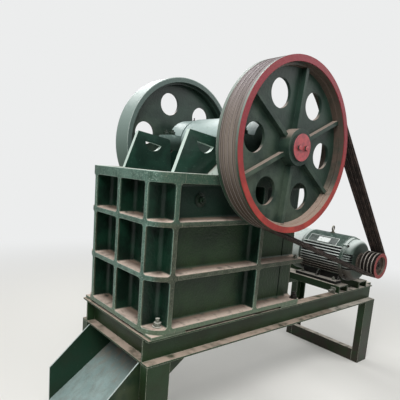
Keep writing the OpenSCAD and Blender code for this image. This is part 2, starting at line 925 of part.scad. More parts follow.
// Tension rod with its nut and washer, and the spring that it draws on
spring_wire = 12;
spring_r = rod_free_r + spring_wire / 2 + 2;
spring_l = 150;
rod_washer_x = rear_plate_x + spring_l + throw + moving_clearance;

module tension_rod() {
  color(worn_steel) placed() {
    translate([rod_seat_x, 0, rod_z]) rotate([0, 90, 0])
      cylinder(h = rod_washer_x + 70 - rod_seat_x, d = rod_d);
    translate([rod_washer_x, 0, rod_z]) rotate([0, 90, 0]) cylinder(h = 10, r = spring_r + 8);
    translate([rod_washer_x + 10, 0, rod_z]) rotate([0, 90, 0]) cylinder(h = 24, r = 26, $fn = 6);
  }
}

module tension_spring() {
  color(jaw_steel) placed()
    translate([rear_plate_x, 0, rod_path_z]) rotate([0, 90, 0])
      difference() {
        cylinder(h = spring_l, r = spring_r + spring_wire / 2);
        translate([0, 0, -eps]) cylinder(h = spring_l + 2 * eps, r = spring_r - spring_wire / 2);
      }
}

// Motor
motor_r = motor_d / 2;
motor_axis_h = motor_r + motor_under_gap;
motor_z = seat_z + rail_h + motor_axis_h;
shaft_into_pulley = 36;
motor_front_y = pulley_face_y + shaft_into_pulley + motor_shaft_l;
motor_rear_y = motor_front_y + motor_l;
bell_ring_l = 24;
barrel_y0 = motor_front_y + bell_l;
barrel_y1 = motor_rear_y - fan_l - bell_ring_l;
motor_core_r = motor_r - fin_h;
fin_t = 5;
fin_top = (fin_count - 1) / 2 * fin_pitch;
panel_angle = 52;
panel_r = 0.93 * motor_r;
box_y0 = barrel_y0 + 0.18 * (barrel_y1 - barrel_y0);

module at_motor() {
  translate([motor_reach, 0, motor_z]) children();
}

// Cut across the motor's body: level fins at its sides and a smooth top with two flats
module body_section() {
  circle(motor_core_r, $fn = 96);
  intersection() {
    circle(motor_r, $fn = 96);
    for (i = [0 : fin_count - 1])
      translate([-motor_r, i * fin_pitch - fin_top - fin_t / 2]) square([motor_d, fin_t]);
  }
  intersection() {
    circle(motor_r, $fn = 96);
    translate([-motor_r, fin_top]) square(motor_d);
    for (s = [0, 1])
      mirror([s, 0]) rotate(panel_angle) translate([panel_r - 2 * motor_d, -motor_d]) square(2 * motor_d);
  }
}

// Foot on one side, with a leg up to the body and a gusset at its middle
module motor_foot() {
  foot_y0 = motor_front_y + motor_foot_c - 40;
  foot_l = motor_foot_b + 80;
  foot_in = motor_foot_a / 2 - 45;
  foot_z1 = motor_foot_t - motor_axis_h;
  difference() {
    translate([foot_in, foot_y0, -motor_axis_h]) cube([83, foot_l, motor_foot_t]);
    for (y = [foot_y0 + 40, foot_y0 + 40 + motor_foot_b])
      translate([motor_foot_a / 2, y, -motor_axis_h - eps])
        cylinder(h = motor_foot_t + 2 * eps, d = 14);
  }
  across(barrel_y0 + 8, barrel_y1 - 8)
    polygon([
      [foot_in, foot_z1 - eps],
      [foot_in + 25, foot_z1 - eps],
      [0.72 * motor_core_r, -0.6 * motor_core_r],
      [0.45 * motor_core_r, -0.8 * motor_core_r]
    ]);
  across(foot_y0 + foot_l / 2 - 5, foot_y0 + foot_l / 2 + 5)
    polygon([
      [foot_in + 20, foot_z1 - eps],
      [foot_in + 75, foot_z1 - eps],
      [0.75 * motor_core_r, -0.55 * motor_core_r],
      [0.5 * motor_core_r, -0.7 * motor_core_r]
    ]);
}

module motor_frame() {
  color(motor_grey) placed() at_motor() {
    across(barrel_y0, barrel_y1) body_section();
    translate([0, box_y0 + 15, 10 - box_h / 3]) cube([motor_r, box_l - 30, box_h - 20]);
    for (s = [0, 1]) mirror([s, 0, 0]) motor_foot();
  }
}

// Round end of radius r over y0 to y1 with its outer edge rounded at y0
module domed_end(y0, y1, r, edge_r) {
  rotate([90, 0, 0]) rotate_extrude($fn = 96) {
    translate([0, -y1]) square([r - edge_r, y1 - y0]);
    translate([0, -y1]) square([r, y1 - y0 - edge_r]);
    translate([r - edge_r, -y0 - edge_r]) intersection() {
      circle(edge_r);
      square(edge_r);
    }
  }
}

bell_r = 0.9 * motor_r;
bell_fins = 6;
bell_fin_pitch = 17;

// Drive-end bell: a ring with bolt bosses, and a dome with level fins at its sides
module drive_bell() {
  fin_h0 = (bell_fins - 1) / 2 * bell_fin_pitch;
  along_y_cylinder(barrel_y0 - bell_ring_l, barrel_y0, motor_r - 8);
  for (i = [0 : 3])
    rotate([0, 45 + 90 * i, 0])
      translate([motor_r - 17, 0, 0]) along_y_cylinder(barrel_y0 - bell_ring_l - 8, barrel_y0, 15);
  intersection() {
    domed_end(motor_front_y + 12, barrel_y0, bell_r, 0.24 * motor_r);
    union() {
      for (i = [0 : bell_fins - 1])
        translate([-motor_r, motor_front_y, i * bell_fin_pitch - fin_h0 - fin_t / 2])
          cube([motor_d, bell_l, fin_t]);
      for (z = [-motor_r, fin_h0 + bell_fin_pitch])
        translate([-motor_r, motor_front_y, z])
          cube([motor_d, bell_l, motor_r - fin_h0 - bell_fin_pitch]);
    }
  }
  along_y_cylinder(motor_front_y + 12, barrel_y0, 0.66 * motor_r);
  along_y_cylinder(motor_front_y, barrel_y0, 0.37 * motor_r);
}

module motor_end_bells() {
  color(motor_grey) placed() at_motor() {
    difference() {
      drive_bell();
      along_y_cylinder(motor_front_y - eps, barrel_y0 + eps, motor_shaft_d / 2 + bearing_clearance);
    }
    along_y_cylinder(barrel_y1, barrel_y1 + bell_ring_l, motor_r - 8);
  }
}

module fan_cover() {
  color(motor_grey) placed() at_motor() mirrored_y()
    domed_end(-motor_rear_y, -barrel_y1 - bell_ring_l, motor_r - 4, 0.2 * motor_r);
}

module terminal_box() {
  color(motor_grey) placed() at_motor()
    translate([motor_r, box_y0, -box_h / 3]) cube([box_reach, box_l, box_h]);
}

module motor_shaft() {
  color(worn_steel) placed() at_motor()
    along_y_cylinder(motor_front_y - motor_shaft_l, barrel_y0, motor_shaft_d / 2);
}

pulley_recess_d = 20;
pulley_rim_t = 26;

module motor_pulley() {
  color(cap_red) placed() at_motor()
    difference() {
      along_y_cylinder(pulley_face_y, pulley_face_y + pulley_w, pulley_r);
      along_y_cylinder(pulley_face_y - eps, pulley_face_y + pulley_recess_d, pulley_r - pulley_rim_t);
      along_y_cylinder(pulley_face_y - eps, pulley_face_y + pulley_w + eps, motor_shaft_d / 2);
      for (y = groove_ys) groove_ring(y, pulley_belt_r);
    }
}

// V-belts, each a closed loop round the near flywheel and the pulley
drive_l = norm([motor_reach, motor_z]);
drive_angle = atan2(motor_z, motor_reach);
wrap = acos((wheel_belt_r - pulley_belt_r) / drive_l);
belt_lap = 0.2;

module belt_section() {
  polygon([
    [-belt_h, -belt_low_w / 2],
    [0, -belt_top_w / 2],
    [0, belt_top_w / 2],
    [-belt_h, belt_low_w / 2]
  ]);
}

module belt_arc(r, start, sweep) {
  rotate([0, 0, start]) rotate_extrude(angle = sweep, $fn = 128)
    translate([r, 0]) belt_section();
}

module belt_strand(side) {
  strand_l = drive_l * sin(wrap);
  rotate([0, 0, side * wrap]) translate([wheel_belt_r, 0, 0])
    rotate([side * 90, 0, 0]) translate([0, 0, -belt_lap])
      linear_extrude(strand_l + 2 * belt_lap) belt_section();
}

module v_belt() {
  rotate([90, 0, 0]) rotate([0, 0, drive_angle]) {
    belt_arc(wheel_belt_r, wrap, 360 - 2 * wrap);
    translate([drive_l, 0, 0]) belt_arc(pulley_belt_r, -wrap, 2 * wrap);
    for (side = [-1, 1]) belt_strand(side);
  }
}

module v_belts() {
  color(belt_black) placed()
    for (y = groove_ys) translate([0, y, 0]) v_belt();
}

near_channel();
far_channel();
front_cross_channel();
middle_cross_channel();
rear_cross_channel();
near_front_leg();
far_front_leg();
near_rear_leg();
far_rear_leg();
ground_beam();
front_motor_rail();
rear_motor_rail();
chute_floor();
chute_near_side();
chute_far_side();
front_wall();
rear_wall();
near_side_wall();
far_side_wall();
fixed_jaw_plate();
near_cheek_plate();
far_cheek_plate();
near_bearing_base();
far_bearing_base();
near_bearing_cap();
far_bearing_cap();
toggle_plate();
toggle_seat();
tension_spring();
motor_frame();
motor_end_bells();
fan_cover();
terminal_box();
v_belts();
eccentric_shaft();
near_flywheel();
far_flywheel();
shaft_end_caps();
moving_jaw();
moving_jaw_plate();
tension_rod();
motor_shaft();
motor_pulley();
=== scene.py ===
import math

import bmesh
import bpy
from mathutils import Matrix, Vector


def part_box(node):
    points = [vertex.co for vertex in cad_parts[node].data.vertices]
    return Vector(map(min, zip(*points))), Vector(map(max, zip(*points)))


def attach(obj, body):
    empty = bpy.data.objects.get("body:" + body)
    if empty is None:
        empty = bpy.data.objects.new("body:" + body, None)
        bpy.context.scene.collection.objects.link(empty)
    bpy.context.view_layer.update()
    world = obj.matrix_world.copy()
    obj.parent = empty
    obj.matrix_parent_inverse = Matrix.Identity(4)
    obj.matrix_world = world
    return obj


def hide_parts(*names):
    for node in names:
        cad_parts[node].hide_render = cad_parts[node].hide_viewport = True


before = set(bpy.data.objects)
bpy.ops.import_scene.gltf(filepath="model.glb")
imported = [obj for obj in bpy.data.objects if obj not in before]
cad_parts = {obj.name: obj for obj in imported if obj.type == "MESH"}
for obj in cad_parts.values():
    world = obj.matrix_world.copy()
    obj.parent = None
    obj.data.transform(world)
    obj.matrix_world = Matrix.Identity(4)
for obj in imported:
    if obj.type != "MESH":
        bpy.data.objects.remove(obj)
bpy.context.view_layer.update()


# Shaft axis
# Every height and reach on the crusher is taken from the eccentric shaft's axis, in metres.
# Its place is read from the round near flywheel, whose box is centred on it.
wheel_low, wheel_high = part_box("near_flywheel")
SHAFT = Vector(((wheel_low[0] + wheel_high[0]) / 2, 0, (wheel_low[2] + wheel_high[2]) / 2))


def from_shaft(x, y, z):
    return SHAFT + Vector((x, y, z))


# Camera
# The photo was taken by hand at chest height, in front of the near corner of the frame.
# Its place and lens come from a fit of the object's edges, in metres from the shaft axis.
CAMERA_PLACE = (-1.7824, -1.8978, -0.1347)
CAMERA_YAW = math.radians(40.0)
CAMERA_PITCH = math.radians(9.3)
CAMERA_ROLL = math.radians(-4.4)
FOCAL_PX = 408.1
CENTRE_SHIFT_PX = (-5.5, 32.9)
PHOTO_PX = 400
SENSOR_MM = 36.0

camera_data = bpy.data.cameras.new("camera")
camera_data.sensor_fit = "HORIZONTAL"
camera_data.sensor_width = SENSOR_MM
camera_data.lens = SENSOR_MM * FOCAL_PX / PHOTO_PX
camera_data.shift_x = -CENTRE_SHIFT_PX[0] / PHOTO_PX
camera_data.shift_y = CENTRE_SHIFT_PX[1] / PHOTO_PX
camera = bpy.data.objects.new("camera", camera_data)
bpy.context.scene.collection.objects.link(camera)
forward = Vector((
    math.sin(CAMERA_YAW) * math.cos(CAMERA_PITCH),
    math.cos(CAMERA_YAW) * math.cos(CAMERA_PITCH),
    -math.sin(CAMERA_PITCH),
))
level_right = Vector((math.cos(CAMERA_YAW), -math.sin(CAMERA_YAW), 0))
level_down = forward.cross(level_right)
right = level_right * math.cos(CAMERA_ROLL) + level_down * math.sin(CAMERA_ROLL)
down = level_down * math.cos(CAMERA_ROLL) - level_right * math.sin(CAMERA_ROLL)
camera.matrix_world = Matrix.Translation(from_shaft(*CAMERA_PLACE)) @ Matrix(
    (right, -down, -forward)
).transposed().to_4x4()
bpy.context.scene.camera = camera


# Floor
# A plain pale studio floor, painted matt, that takes the object's soft shadow. The legs stand
# on it at height 0, and some metres out it turns into the pale room, so no horizon shows.
FLOOR_WHITE = "#e4e2dd"
FLOOR_HALF = 30
FADE_FROM, FADE_TO = 1.9, 5.5
ROOM_SEEN = "#eceded"


def new_object(name, data):
    obj = bpy.data.objects.new(name, data)
    bpy.context.scene.collection.objects.link(obj)
    return obj


def linear(hex_colour):
    channels = [int(hex_colour[i:i + 2], 16) / 255 for i in (1, 3, 5)]
    return [c / 12.92 if c <= 0.04045 else ((c + 0.055) / 1.055) ** 2.4 for c in channels] + [1.0]


def node(tree, kind, inputs=None, **fields):
    """Add a node. Each input is a socket to link from, a hex colour or a constant."""
    made = tree.nodes.new("ShaderNode" + kind)
    for field, value in fields.items():
        setattr(made, field, value)
    for name, value in (inputs or {}).items():
        if isinstance(value, bpy.types.NodeSocket):
            tree.links.new(value, made.inputs[name])
        else:
            made.inputs[name].default_value = linear(value) if isinstance(value, str) else value
    return made


def new_material(name, colour, roughness, metallic=0.0, gloss=0.5):
    """A material, its tree, its shader and the place on the piece in metres."""
    material = bpy.data.materials.new(name)
    material.use_nodes = True
    tree = material.node_tree
    shader = tree.nodes["Principled BSDF"]
    shader.inputs["Base Color"].default_value = linear(colour)
    shader.inputs["Roughness"].default_value = roughness
    shader.inputs["Metallic"].default_value = metallic
    shader.inputs["Specular IOR Level"].default_value = gloss
    return material, tree, shader, node(tree, "TexCoord").outputs["Object"]


def from_to(value, low, high):
    """A smooth mask that rises from 0 at low to 1 at high."""
    return node(value.id_data, "MapRange", {"Value": value, "From Min": low, "From Max": high},
                interpolation_type="SMOOTHSTEP").outputs["Result"]


def times(mask, *others):
    """The mask where all the others are 1 too, or a share of it."""
    for other in others:
        mask = node(mask.id_data, "Math", {0: mask, 1: other}, operation="MULTIPLY").outputs[0]
    return mask


floor_mesh = bpy.data.meshes.new("floor")
bm = bmesh.new()
bmesh.ops.create_grid(bm, x_segments=1, y_segments=1, size=FLOOR_HALF)
bm.to_mesh(floor_mesh)
bm.free()
floor = new_object("floor", floor_mesh)

# Matt floor paint: pale and even, without shine, and far out the plain colour of the room.
floor_paint, tree, shader, place = new_material("matt_floor_paint", FLOOR_WHITE, 0.9)
away = node(tree, "VectorMath", {0: place}, operation="LENGTH").outputs["Value"]
camera_ray = node(tree, "LightPath").outputs["Is Camera Ray"]
faded = node(tree, "MixShader", {
    0: times(from_to(away, FADE_FROM, FADE_TO), camera_ray),
    1: shader.outputs[0],
    2: node(tree, "Emission", {"Color": ROOM_SEEN}).outputs[0],
})
tree.links.new(faded.outputs[0], tree.nodes["Material Output"].inputs["Surface"])
floor_mesh.materials.append(floor_paint)


# Light
# A pale even room, one wide softbox above the front left corner, a weak one at the right and
# one behind. The room shows as plain pale grey behind the object and in its glossy paint.
ROOM_GREY = "#d9dcdd"
ROOM_STRENGTH = 0.55
LAMP_AIM = Vector((0, 0, -0.5))
SOFTBOXES = (
    ("key_softbox", (-2.6, -2.2, 2.6), 2.4, 190),
    ("fill_softbox", (2.8, -2.8, 1.6), 2.6, 50),
    ("back_softbox", (0.6, 3.2, 2.6), 2.4, 90),
)

world = bpy.data.worlds.new("studio")
bpy.context.scene.world = world
world.use_nodes = True
tree = world.node_tree
room = tree.nodes["Background"]
room.inputs["Color"].default_value = linear(ROOM_GREY)
room.inputs["Strength"].default_value = ROOM_STRENGTH
shown = node(tree, "MixShader", {
    0: node(tree, "LightPath").outputs["Is Camera Ray"],
    1: room.outputs[0],
    2: node(tree, "Background", {"Color": ROOM_SEEN}).outputs[0],
})
tree.links.new(shown.outputs[0], tree.nodes["World Output"].inputs["Surface"])

for name, lamp_place, size, watts in SOFTBOXES:
    lamp_data = bpy.data.lights.new(name, "AREA")
    lamp_data.shape = "SQUARE"
    lamp_data.size = size
    lamp_data.energy = watts
    lamp = new_object(name, lamp_data)
    lamp.location = from_shaft(*lamp_place)
    lamp.rotation_euler = (LAMP_AIM - Vector(lamp_place)).to_track_quat("-Z", "Y").to_euler()

bpy.context.scene.view_settings.view_transform = "Standard"


# Stand
# Rolled steel channels, welded, with one coat of dark olive enamel brushed on over mill scale.
# Quarry dust lies on every flange that faces up, thickest and palest on the motor's rails.
STAND_OLIVE = "#1d341c"
STAND_OLIVE_DARK = "#1a2911"
SPLASHED_MUD = "#2a251d"
ROAD_DUST = "#ad9b8c"
RAIL_DUST = "#d3cabd"
RUBBED_EDGE_AND_HIGHLIGHT = "#a7ac9a"
SPECK_OLIVE = "#76745f"
STAND_ROUGHNESS = 0.42
DUST_ROUGHNESS = 0.95
RAILS_FROM = (0.88, 0.93)
STAND_NODES = (
    "near_channel", "far_channel", "front_cross_channel", "middle_cross_channel",
    "rear_cross_channel", "near_front_leg", "far_front_leg", "near_rear_leg", "far_rear_leg",
    "ground_beam", "front_motor_rail", "rear_motor_rail",
)


def grains(place, size_mm, low=0.35, high=0.65, detail=3.0):
    """A mask of uneven patches about size_mm across."""
    noise = node(place.id_data, "TexNoise",
                 {"Vector": place, "Scale": 1000 / size_mm, "Detail": detail})
    return from_to(noise.outputs[0], low, high)


def layered(under, *coats):
    """One colour over another. A coat is a mask and the colour that shows where it is 1."""
    for mask, colour in coats:
        under = node(mask.id_data, "Mix", {0: mask, 6: under, 7: colour},
                     data_type="RGBA").outputs[2]
    return under


def facing(place, axis):
    """How far a face looks along X, Y or Z of the piece."""
    normal = node(place.id_data, "TexCoord").outputs["Normal"]
    return node(place.id_data, "SeparateXYZ", {0: normal}).outputs[axis]


def edge_mask(place, edge_mm):
    """The strip within edge_mm of a sharp edge, where paint is thin and rubbed, and where the
    coats paint a highlight.
    """
    tree = place.id_data
    rounded = node(tree, "Bevel", {"Radius": edge_mm / 1000}, samples=4).outputs[0]
    face = node(tree, "NewGeometry").outputs["Normal"]
    close = node(tree, "VectorMath", {0: rounded, 1: face}, operation="DOT_PRODUCT")
    return from_to(close.outputs["Value"], 0.98, 0.84)


def skin(shader, coat, place, grain_mm, depth_mm, edge_mm=0, low=0.3, high=0.7, detail=3.0):
    """The colour, and bump of a real grain and depth over edges rounded by edge_mm."""
    tree = place.id_data
    tree.links.new(coat, shader.inputs["Base Color"])
    bump = node(tree, "Bump", {"Height": grains(place, grain_mm, low, high, detail),
                               "Distance": depth_mm / 1000})
    if edge_mm:
        rounded = node(tree, "Bevel", {"Radius": edge_mm / 1000}, samples=4)
        tree.links.new(rounded.outputs[0], bump.inputs["Normal"])
    tree.links.new(bump.outputs[0], shader.inputs["Normal"])


def dulled(shader, dust, clean):
    """Roughness of the clean coat, and of dust where it lies."""
    tree = dust.id_data
    rough = node(tree, "MapRange", {"Value": dust, "To Min": clean, "To Max": DUST_ROUGHNESS})
    tree.links.new(rough.outputs[0], shader.inputs["Roughness"])


def assign(material, *names):
    for name in names:
        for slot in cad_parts[name].material_slots:
            slot.material = material


# Brushed enamel: dark and half glossy, with pale edges of rubbed paint and a painted highlight,
# and mud splashed on the legs.
olive, tree, shader, place = new_material(
    "brushed_olive_enamel", STAND_OLIVE, STAND_ROUGHNESS, gloss=0.3)
parts = node(tree, "SeparateXYZ", {0: place}).outputs
splashed = times(from_to(parts["Z"], 0.50, 0.05), grains(place, 60, 0.25, 0.6, 4.0))
# Pale edges: rubbed paint, with a painted highlight along them.
rubbed_and_highlit = times(edge_mask(place, 4), grains(place, 22, 0.2, 0.5))
dust = times(from_to(facing(place, "Z"), 0.5, 0.95), grains(place, 70, 0.2, 0.55))
on_rails = from_to(parts["X"], *(SHAFT.x + reach for reach in RAILS_FROM))
coat = layered(
    STAND_OLIVE,
    (grains(place, 160, 0.38, 0.62), STAND_OLIVE_DARK),
    (splashed, SPLASHED_MUD),
    (rubbed_and_highlit, RUBBED_EDGE_AND_HIGHLIGHT),
    (dust, layered(ROAD_DUST, (on_rails, RAIL_DUST))),
    (grains(place, 6, 0.76, 0.82, 1.0), SPECK_OLIVE),
)
dulled(shader, dust, STAND_ROUGHNESS)
skin(shader, coat, place, 9, 0.35, 2)
assign(olive, *STAND_NODES)


# Discharge chute
# Three bent steel plates, tack-welded. The sides keep their green enamel; sliding rock has worn
# the floor bright grey, with a painted sheen low down, and long scratches down the slope.
CHUTE_GREEN_SHADED = "#10301f"
CHUTE_OLIVE = "#343f2a"
CHUTE_SHADED = "#182c1c"
CHUTE_SCUFF = "#3d5244"
CHUTE_STEEL_AND_SHEEN = "#9db3b0"
CHUTE_STEEL_DARK = "#63706c"
CHUTE_STEEL_DULL = "#8ea4a1"
CHUTE_STEEL_BRIGHT = "#c3d2cf"
CHUTE_BROWN = "#7d7468"
CHUTE_PALE_WEAR_AND_HIGHLIGHT = "#b2bdb9"
CHUTE_SLOPE = math.radians(-35)
chute_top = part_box("chute_floor")[1][2]


def looks_sideways(place, low, high):
    """A mask by how squarely a face looks along Y, to either side."""
    squarely = node(place.id_data, "Math", {0: facing(place, "Y")}, operation="ABSOLUTE")
    return from_to(squarely.outputs[0], low, high)


# Scuffed enamel: dull green with painted shade on the far plate, dusty olive on the near one, and
# pale bare cut edges with a painted highlight.
chute_paint, tree, shader, place = new_material(
    "scuffed_green_enamel", CHUTE_GREEN_SHADED, 0.4, gloss=0.3)
# Painted shade: the far plate's inner face is darker green; the near plate's outer face is dusty
# olive.
near_plate = from_to(node(tree, "SeparateXYZ", {0: place}).outputs["Y"], 0.05, -0.05)
coat = layered(
    CHUTE_GREEN_SHADED,
    (near_plate, CHUTE_OLIVE),
    (grains(place, 120), CHUTE_SHADED),
    (grains(place, 30, 0.70, 0.78, 2.0), CHUTE_SCUFF),
    # Painted highlight on the plates' cut edges, which are bare and pale too.
    (looks_sideways(place, 0.6, 0.4), CHUTE_PALE_WEAR_AND_HIGHLIGHT),
)
skin(shader, coat, place, 12, 0.3, 1.5)
assign(chute_paint, "chute_near_side", "chute_far_side")

# Rock-worn steel: worn pale grey low down with a painted sheen, brown with damp dust where rock
# lands on it.
chute_steel, tree, shader, place = new_material("rock_worn_steel_plate", CHUTE_STEEL_AND_SHEEN, 0.45, 0.2)
down_slope = node(tree, "Mapping", {
    "Vector": place, "Rotation": (0, CHUTE_SLOPE, 0), "Scale": (0.05, 1, 1)}).outputs[0]
streaks = grains(down_slope, 30, 0.38, 0.68)
height = node(tree, "SeparateXYZ", {0: place}).outputs["Z"]
# Lower down the floor is paler: worn steel with a painted sheen.
lower = layered(
    CHUTE_STEEL_AND_SHEEN,
    (grains(place, 90, 0.3, 0.7), CHUTE_STEEL_DULL),
    (times(streaks, 0.3), CHUTE_BROWN),
    (times(grains(place, 4, 0.45, 0.75, 1.0), 0.3), CHUTE_STEEL_BRIGHT),
)
coat = layered(
    CHUTE_STEEL_DARK,
    (streaks, CHUTE_BROWN),
    (from_to(height, chute_top - 0.13, chute_top - 0.29), lower),
    (times(grains(down_slope, 12, 0.62, 0.8), 0.35), CHUTE_PALE_WEAR_AND_HIGHLIGHT),
    # Painted highlight along the floor's edges.
    (edge_mask(place, 4), CHUTE_PALE_WEAR_AND_HIGHLIGHT),
)
skin(shader, coat, down_slope, 6, 0.08, 1.5)
assign(chute_steel, "chute_floor")


# Frame casting
# One box of ribbed cast steel, sand cast, with a thick coat of glossy bottle green enamel.
# Its outer faces are lighter, the pockets and sideways faces are painted darker as shade, and
# dust lies on the belts.
CAST_GREEN = "#506c60"
CAST_GREEN_DARK = "#3b5448"
CAST_LOW = "#4f604c"
CAST_PIT = "#26362b"
CAST_RUBBED_AND_HIGHLIT = "#adc1b4"
SIDE_RUBBED_AND_HIGHLIT = "#a09c88"
SIDE_SHADE_OLIVE = "#3f4638"
SIDE_SHADE_OLIVE_DARK = "#2b3326"
SIDE_HIGH = "#384f42"
POCKET_SHADE_GREEN = "#102d20"
POCKET_SHADE_GREEN_DARK = "#0a1b13"
PANEL_SHADE_GREEN = "#1b3218"
PANEL_SHADE_GREEN_DARK = "#142813"
PANEL_SHADE_HIGH = "#142c22"
BELT_DUST_HIGHLIT = "#c9b6a8"
BELT_DUST_DARK = "#66574b"
TOP_RIM_HIGHLIGHT = "#cbd6cc"
CAST_ROUGHNESS = 0.36
PLAN_CORNER = 0.110
ANY_HEIGHT = 10
FRONT_POCKET_DEPTH = 0.150
TOP_ROW_FROM = (0.26, 0.22)
WALL_NODES = ("front_wall", "rear_wall", "near_side_wall", "far_side_wall")

lows, highs = zip(*(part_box(name) for name in WALL_NODES))
frame_low = Vector([min(low[i] for low in lows) for i in range(3)])
frame_high = Vector([max(high[i] for high in highs) for i in range(3)])
wall_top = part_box("front_wall")[1][2]


def either(first, second):
    """The stronger of two masks."""
    return node(first.id_data, "Math", {0: first, 1: second}, operation="MAXIMUM").outputs[0]


def outside_of(mask, share):
    """1 outside the mask, and less by this share inside it."""
    inverse = node(mask.id_data, "Math", {0: 1.0, 1: times(mask, share)}, operation="SUBTRACT")
    return inverse.outputs[0]


def inwards(place):
    """Distance in metres from the frame's rounded outer face, negative inside."""
    tree = place.id_data
    centre = (frame_low + frame_high) / 2
    half = (frame_high - frame_low) / 2
    box = (half.x - PLAN_CORNER, half.y - PLAN_CORNER, ANY_HEIGHT)
    offset = node(tree, "VectorMath", {0: place, 1: (centre.x, centre.y, 0)},
                  operation="SUBTRACT").outputs[0]
    size = node(tree, "VectorMath", {0: offset}, operation="ABSOLUTE").outputs[0]
    past = node(tree, "VectorMath", {0: size, 1: box}, operation="SUBTRACT").outputs[0]
    outer = node(tree, "VectorMath", {0: past, 1: (0, 0, 0)}, operation="MAXIMUM").outputs[0]
    reach = node(tree, "VectorMath", {0: outer}, operation="LENGTH").outputs["Value"]
    sides = node(tree, "SeparateXYZ", {0: past}).outputs
    inner = node(tree, "Math", {0: either(sides[0], sides[1]), 1: 0.0}, operation="MINIMUM")
    signed = node(tree, "Math", {0: reach, 1: inner.outputs[0]}, operation="ADD").outputs[0]
    return node(tree, "Math", {0: signed, 1: PLAN_CORNER}, operation="SUBTRACT").outputs[0]


# Thick enamel on a sand casting: glossy and pitted, pale on its edges and its grain as rubbed
# paint and a painted highlight.
cast, tree, shader, place = new_material(
    "glossy_enamel_on_sand_casting", CAST_GREEN, CAST_ROUGHNESS, gloss=0.35)
depth = inwards(place)
parts = node(tree, "SeparateXYZ", {0: place}).outputs
height, reach = parts["Z"], parts["X"]
sideways = looks_sideways(place, 0.45, 0.85)
top_row = from_to(height, *(wall_top - drop for drop in TOP_ROW_FROM))
broad = grains(place, 60)
# Painted shade: faces that look sideways are darker and more olive than the front faces of the
# same enamel.
side = layered(SIDE_SHADE_OLIVE, (broad, SIDE_SHADE_OLIVE_DARK), (top_row, SIDE_HIGH))
# Pale grain and edges: rubbed paint with a painted highlight, fainter on the sideways faces.
sandy = times(grains(place, 5, 0.54, 0.70), 0.6)
rubbed_and_highlit = times(either(sandy, times(edge_mask(place, 6), 0.85)), outside_of(sideways, 0.45))
face = layered(
    CAST_GREEN,
    (broad, CAST_GREEN_DARK),
    (sideways, side),
    (from_to(height, frame_low.z + 0.16, frame_low.z + 0.02), CAST_LOW),
    (times(grains(place, 7, 0.56, 0.70), 0.6), CAST_PIT),
    (rubbed_and_highlit, layered(CAST_RUBBED_AND_HIGHLIT, (sideways, SIDE_RUBBED_AND_HIGHLIT))),
)
blotch = grains(place, 110)
pocket_end = frame_low.x + FRONT_POCKET_DEPTH
# Painted shade: beside the middle rib the side panel keeps the darker pocket green.
shade_beside_rib = times(from_to(reach, SHAFT.x - 0.11, SHAFT.x - 0.05),
                   from_to(reach, SHAFT.x + 0.005, SHAFT.x - 0.005))
on_panel = times(sideways, from_to(reach, pocket_end, pocket_end + 0.01),
                 outside_of(shade_beside_rib, 0.8))
panel = layered(PANEL_SHADE_GREEN, (blotch, PANEL_SHADE_GREEN_DARK), (top_row, PANEL_SHADE_HIGH))
# Dust on the belts, paler towards their outer edge as a painted highlight.
near_edge = times(from_to(depth, -0.085, -0.008), grains(place, 14, 0.1, 0.5, 4.0))
# Painted highlight: a bright line along the top front edge of the wall, over its dust.
top_rim_highlight = times(from_to(height, wall_top - 0.012, wall_top - 0.004),
                from_to(depth, -0.11, -0.05))
settled = times(from_to(facing(place, "Z"), 0.35, 0.9), grains(place, 45, 0.15, 0.5))
# Painted shade: all that lies more than a few millimetres behind the outer face, in the pockets
# and on the side panels, is dark green.
coat = layered(
    POCKET_SHADE_GREEN,
    (blotch, POCKET_SHADE_GREEN_DARK),
    (on_panel, panel),
    (from_to(depth, -0.012, -0.004), face),
    (settled, layered(BELT_DUST_DARK, (near_edge, BELT_DUST_HIGHLIT), (top_rim_highlight, TOP_RIM_HIGHLIGHT))),
)
dulled(shader, settled, CAST_ROUGHNESS)
skin(shader, coat, place, 12, 1.1, 5, 0.25, 0.75, 6.0)
assign(cast, *WALL_NODES)


# Cheek plates
# Two plates of wear steel, gas cut, that stand above the frame with a half-moon lifting hole.
# They stand beside the jaw plates, and a bolt through each side wall holds them.
CHEEK_GREEN = "#1f3d31"
CHEEK_GREEN_DARK = "#172e25"
CHEEK_CHIP = "#6f8a7e"
CUT_EDGE_HIGHLIGHT = "#c3d3c9"

# Enamel on smooth plate: dark and glossy, chipped in specks, with a painted highlight on its
# dusty cut edges.
cheek, tree, shader, place = new_material("enamelled_wear_plate", CHEEK_GREEN, 0.33)
coat = layered(
    CHEEK_GREEN,
    (grains(place, 90), CHEEK_GREEN_DARK),
    (grains(place, 7, 0.71, 0.76, 2.0), CHEEK_CHIP),
    (looks_sideways(place, 0.6, 0.4), CUT_EDGE_HIGHLIGHT),
)
skin(shader, coat, place, 14, 0.3, 1.5)
assign(cheek, "near_cheek_plate", "far_cheek_plate")


# Jaw plates
# Toothed plates of manganese steel, cast and left bare, that hang in the frame and on the
# moving jaw. The toggle plate behind and its seat are bare castings too.
JAW_BROWN = "#5b5048"
JAW_BROWN_DARK = "#453c36"
JAW_DUST = "#8d8075"

# Bare manganese steel: foundry brown, half metallic, and rubbed pale on the teeth's crests.
jaw_steel, tree, shader, place = new_material("bare_cast_manganese_steel", JAW_BROWN, 0.6, 0.3)
coat = layered(
    JAW_BROWN,
    (grains(place, 50), JAW_BROWN_DARK),
    (either(edge_mask(place, 4), grains(place, 18, 0.58, 0.7)), JAW_DUST),
)
skin(shader, coat, place, 8, 0.8, 2, detail=4.0)
assign(jaw_steel, "fixed_jaw_plate", "moving_jaw_plate", "toggle_plate", "toggle_seat")


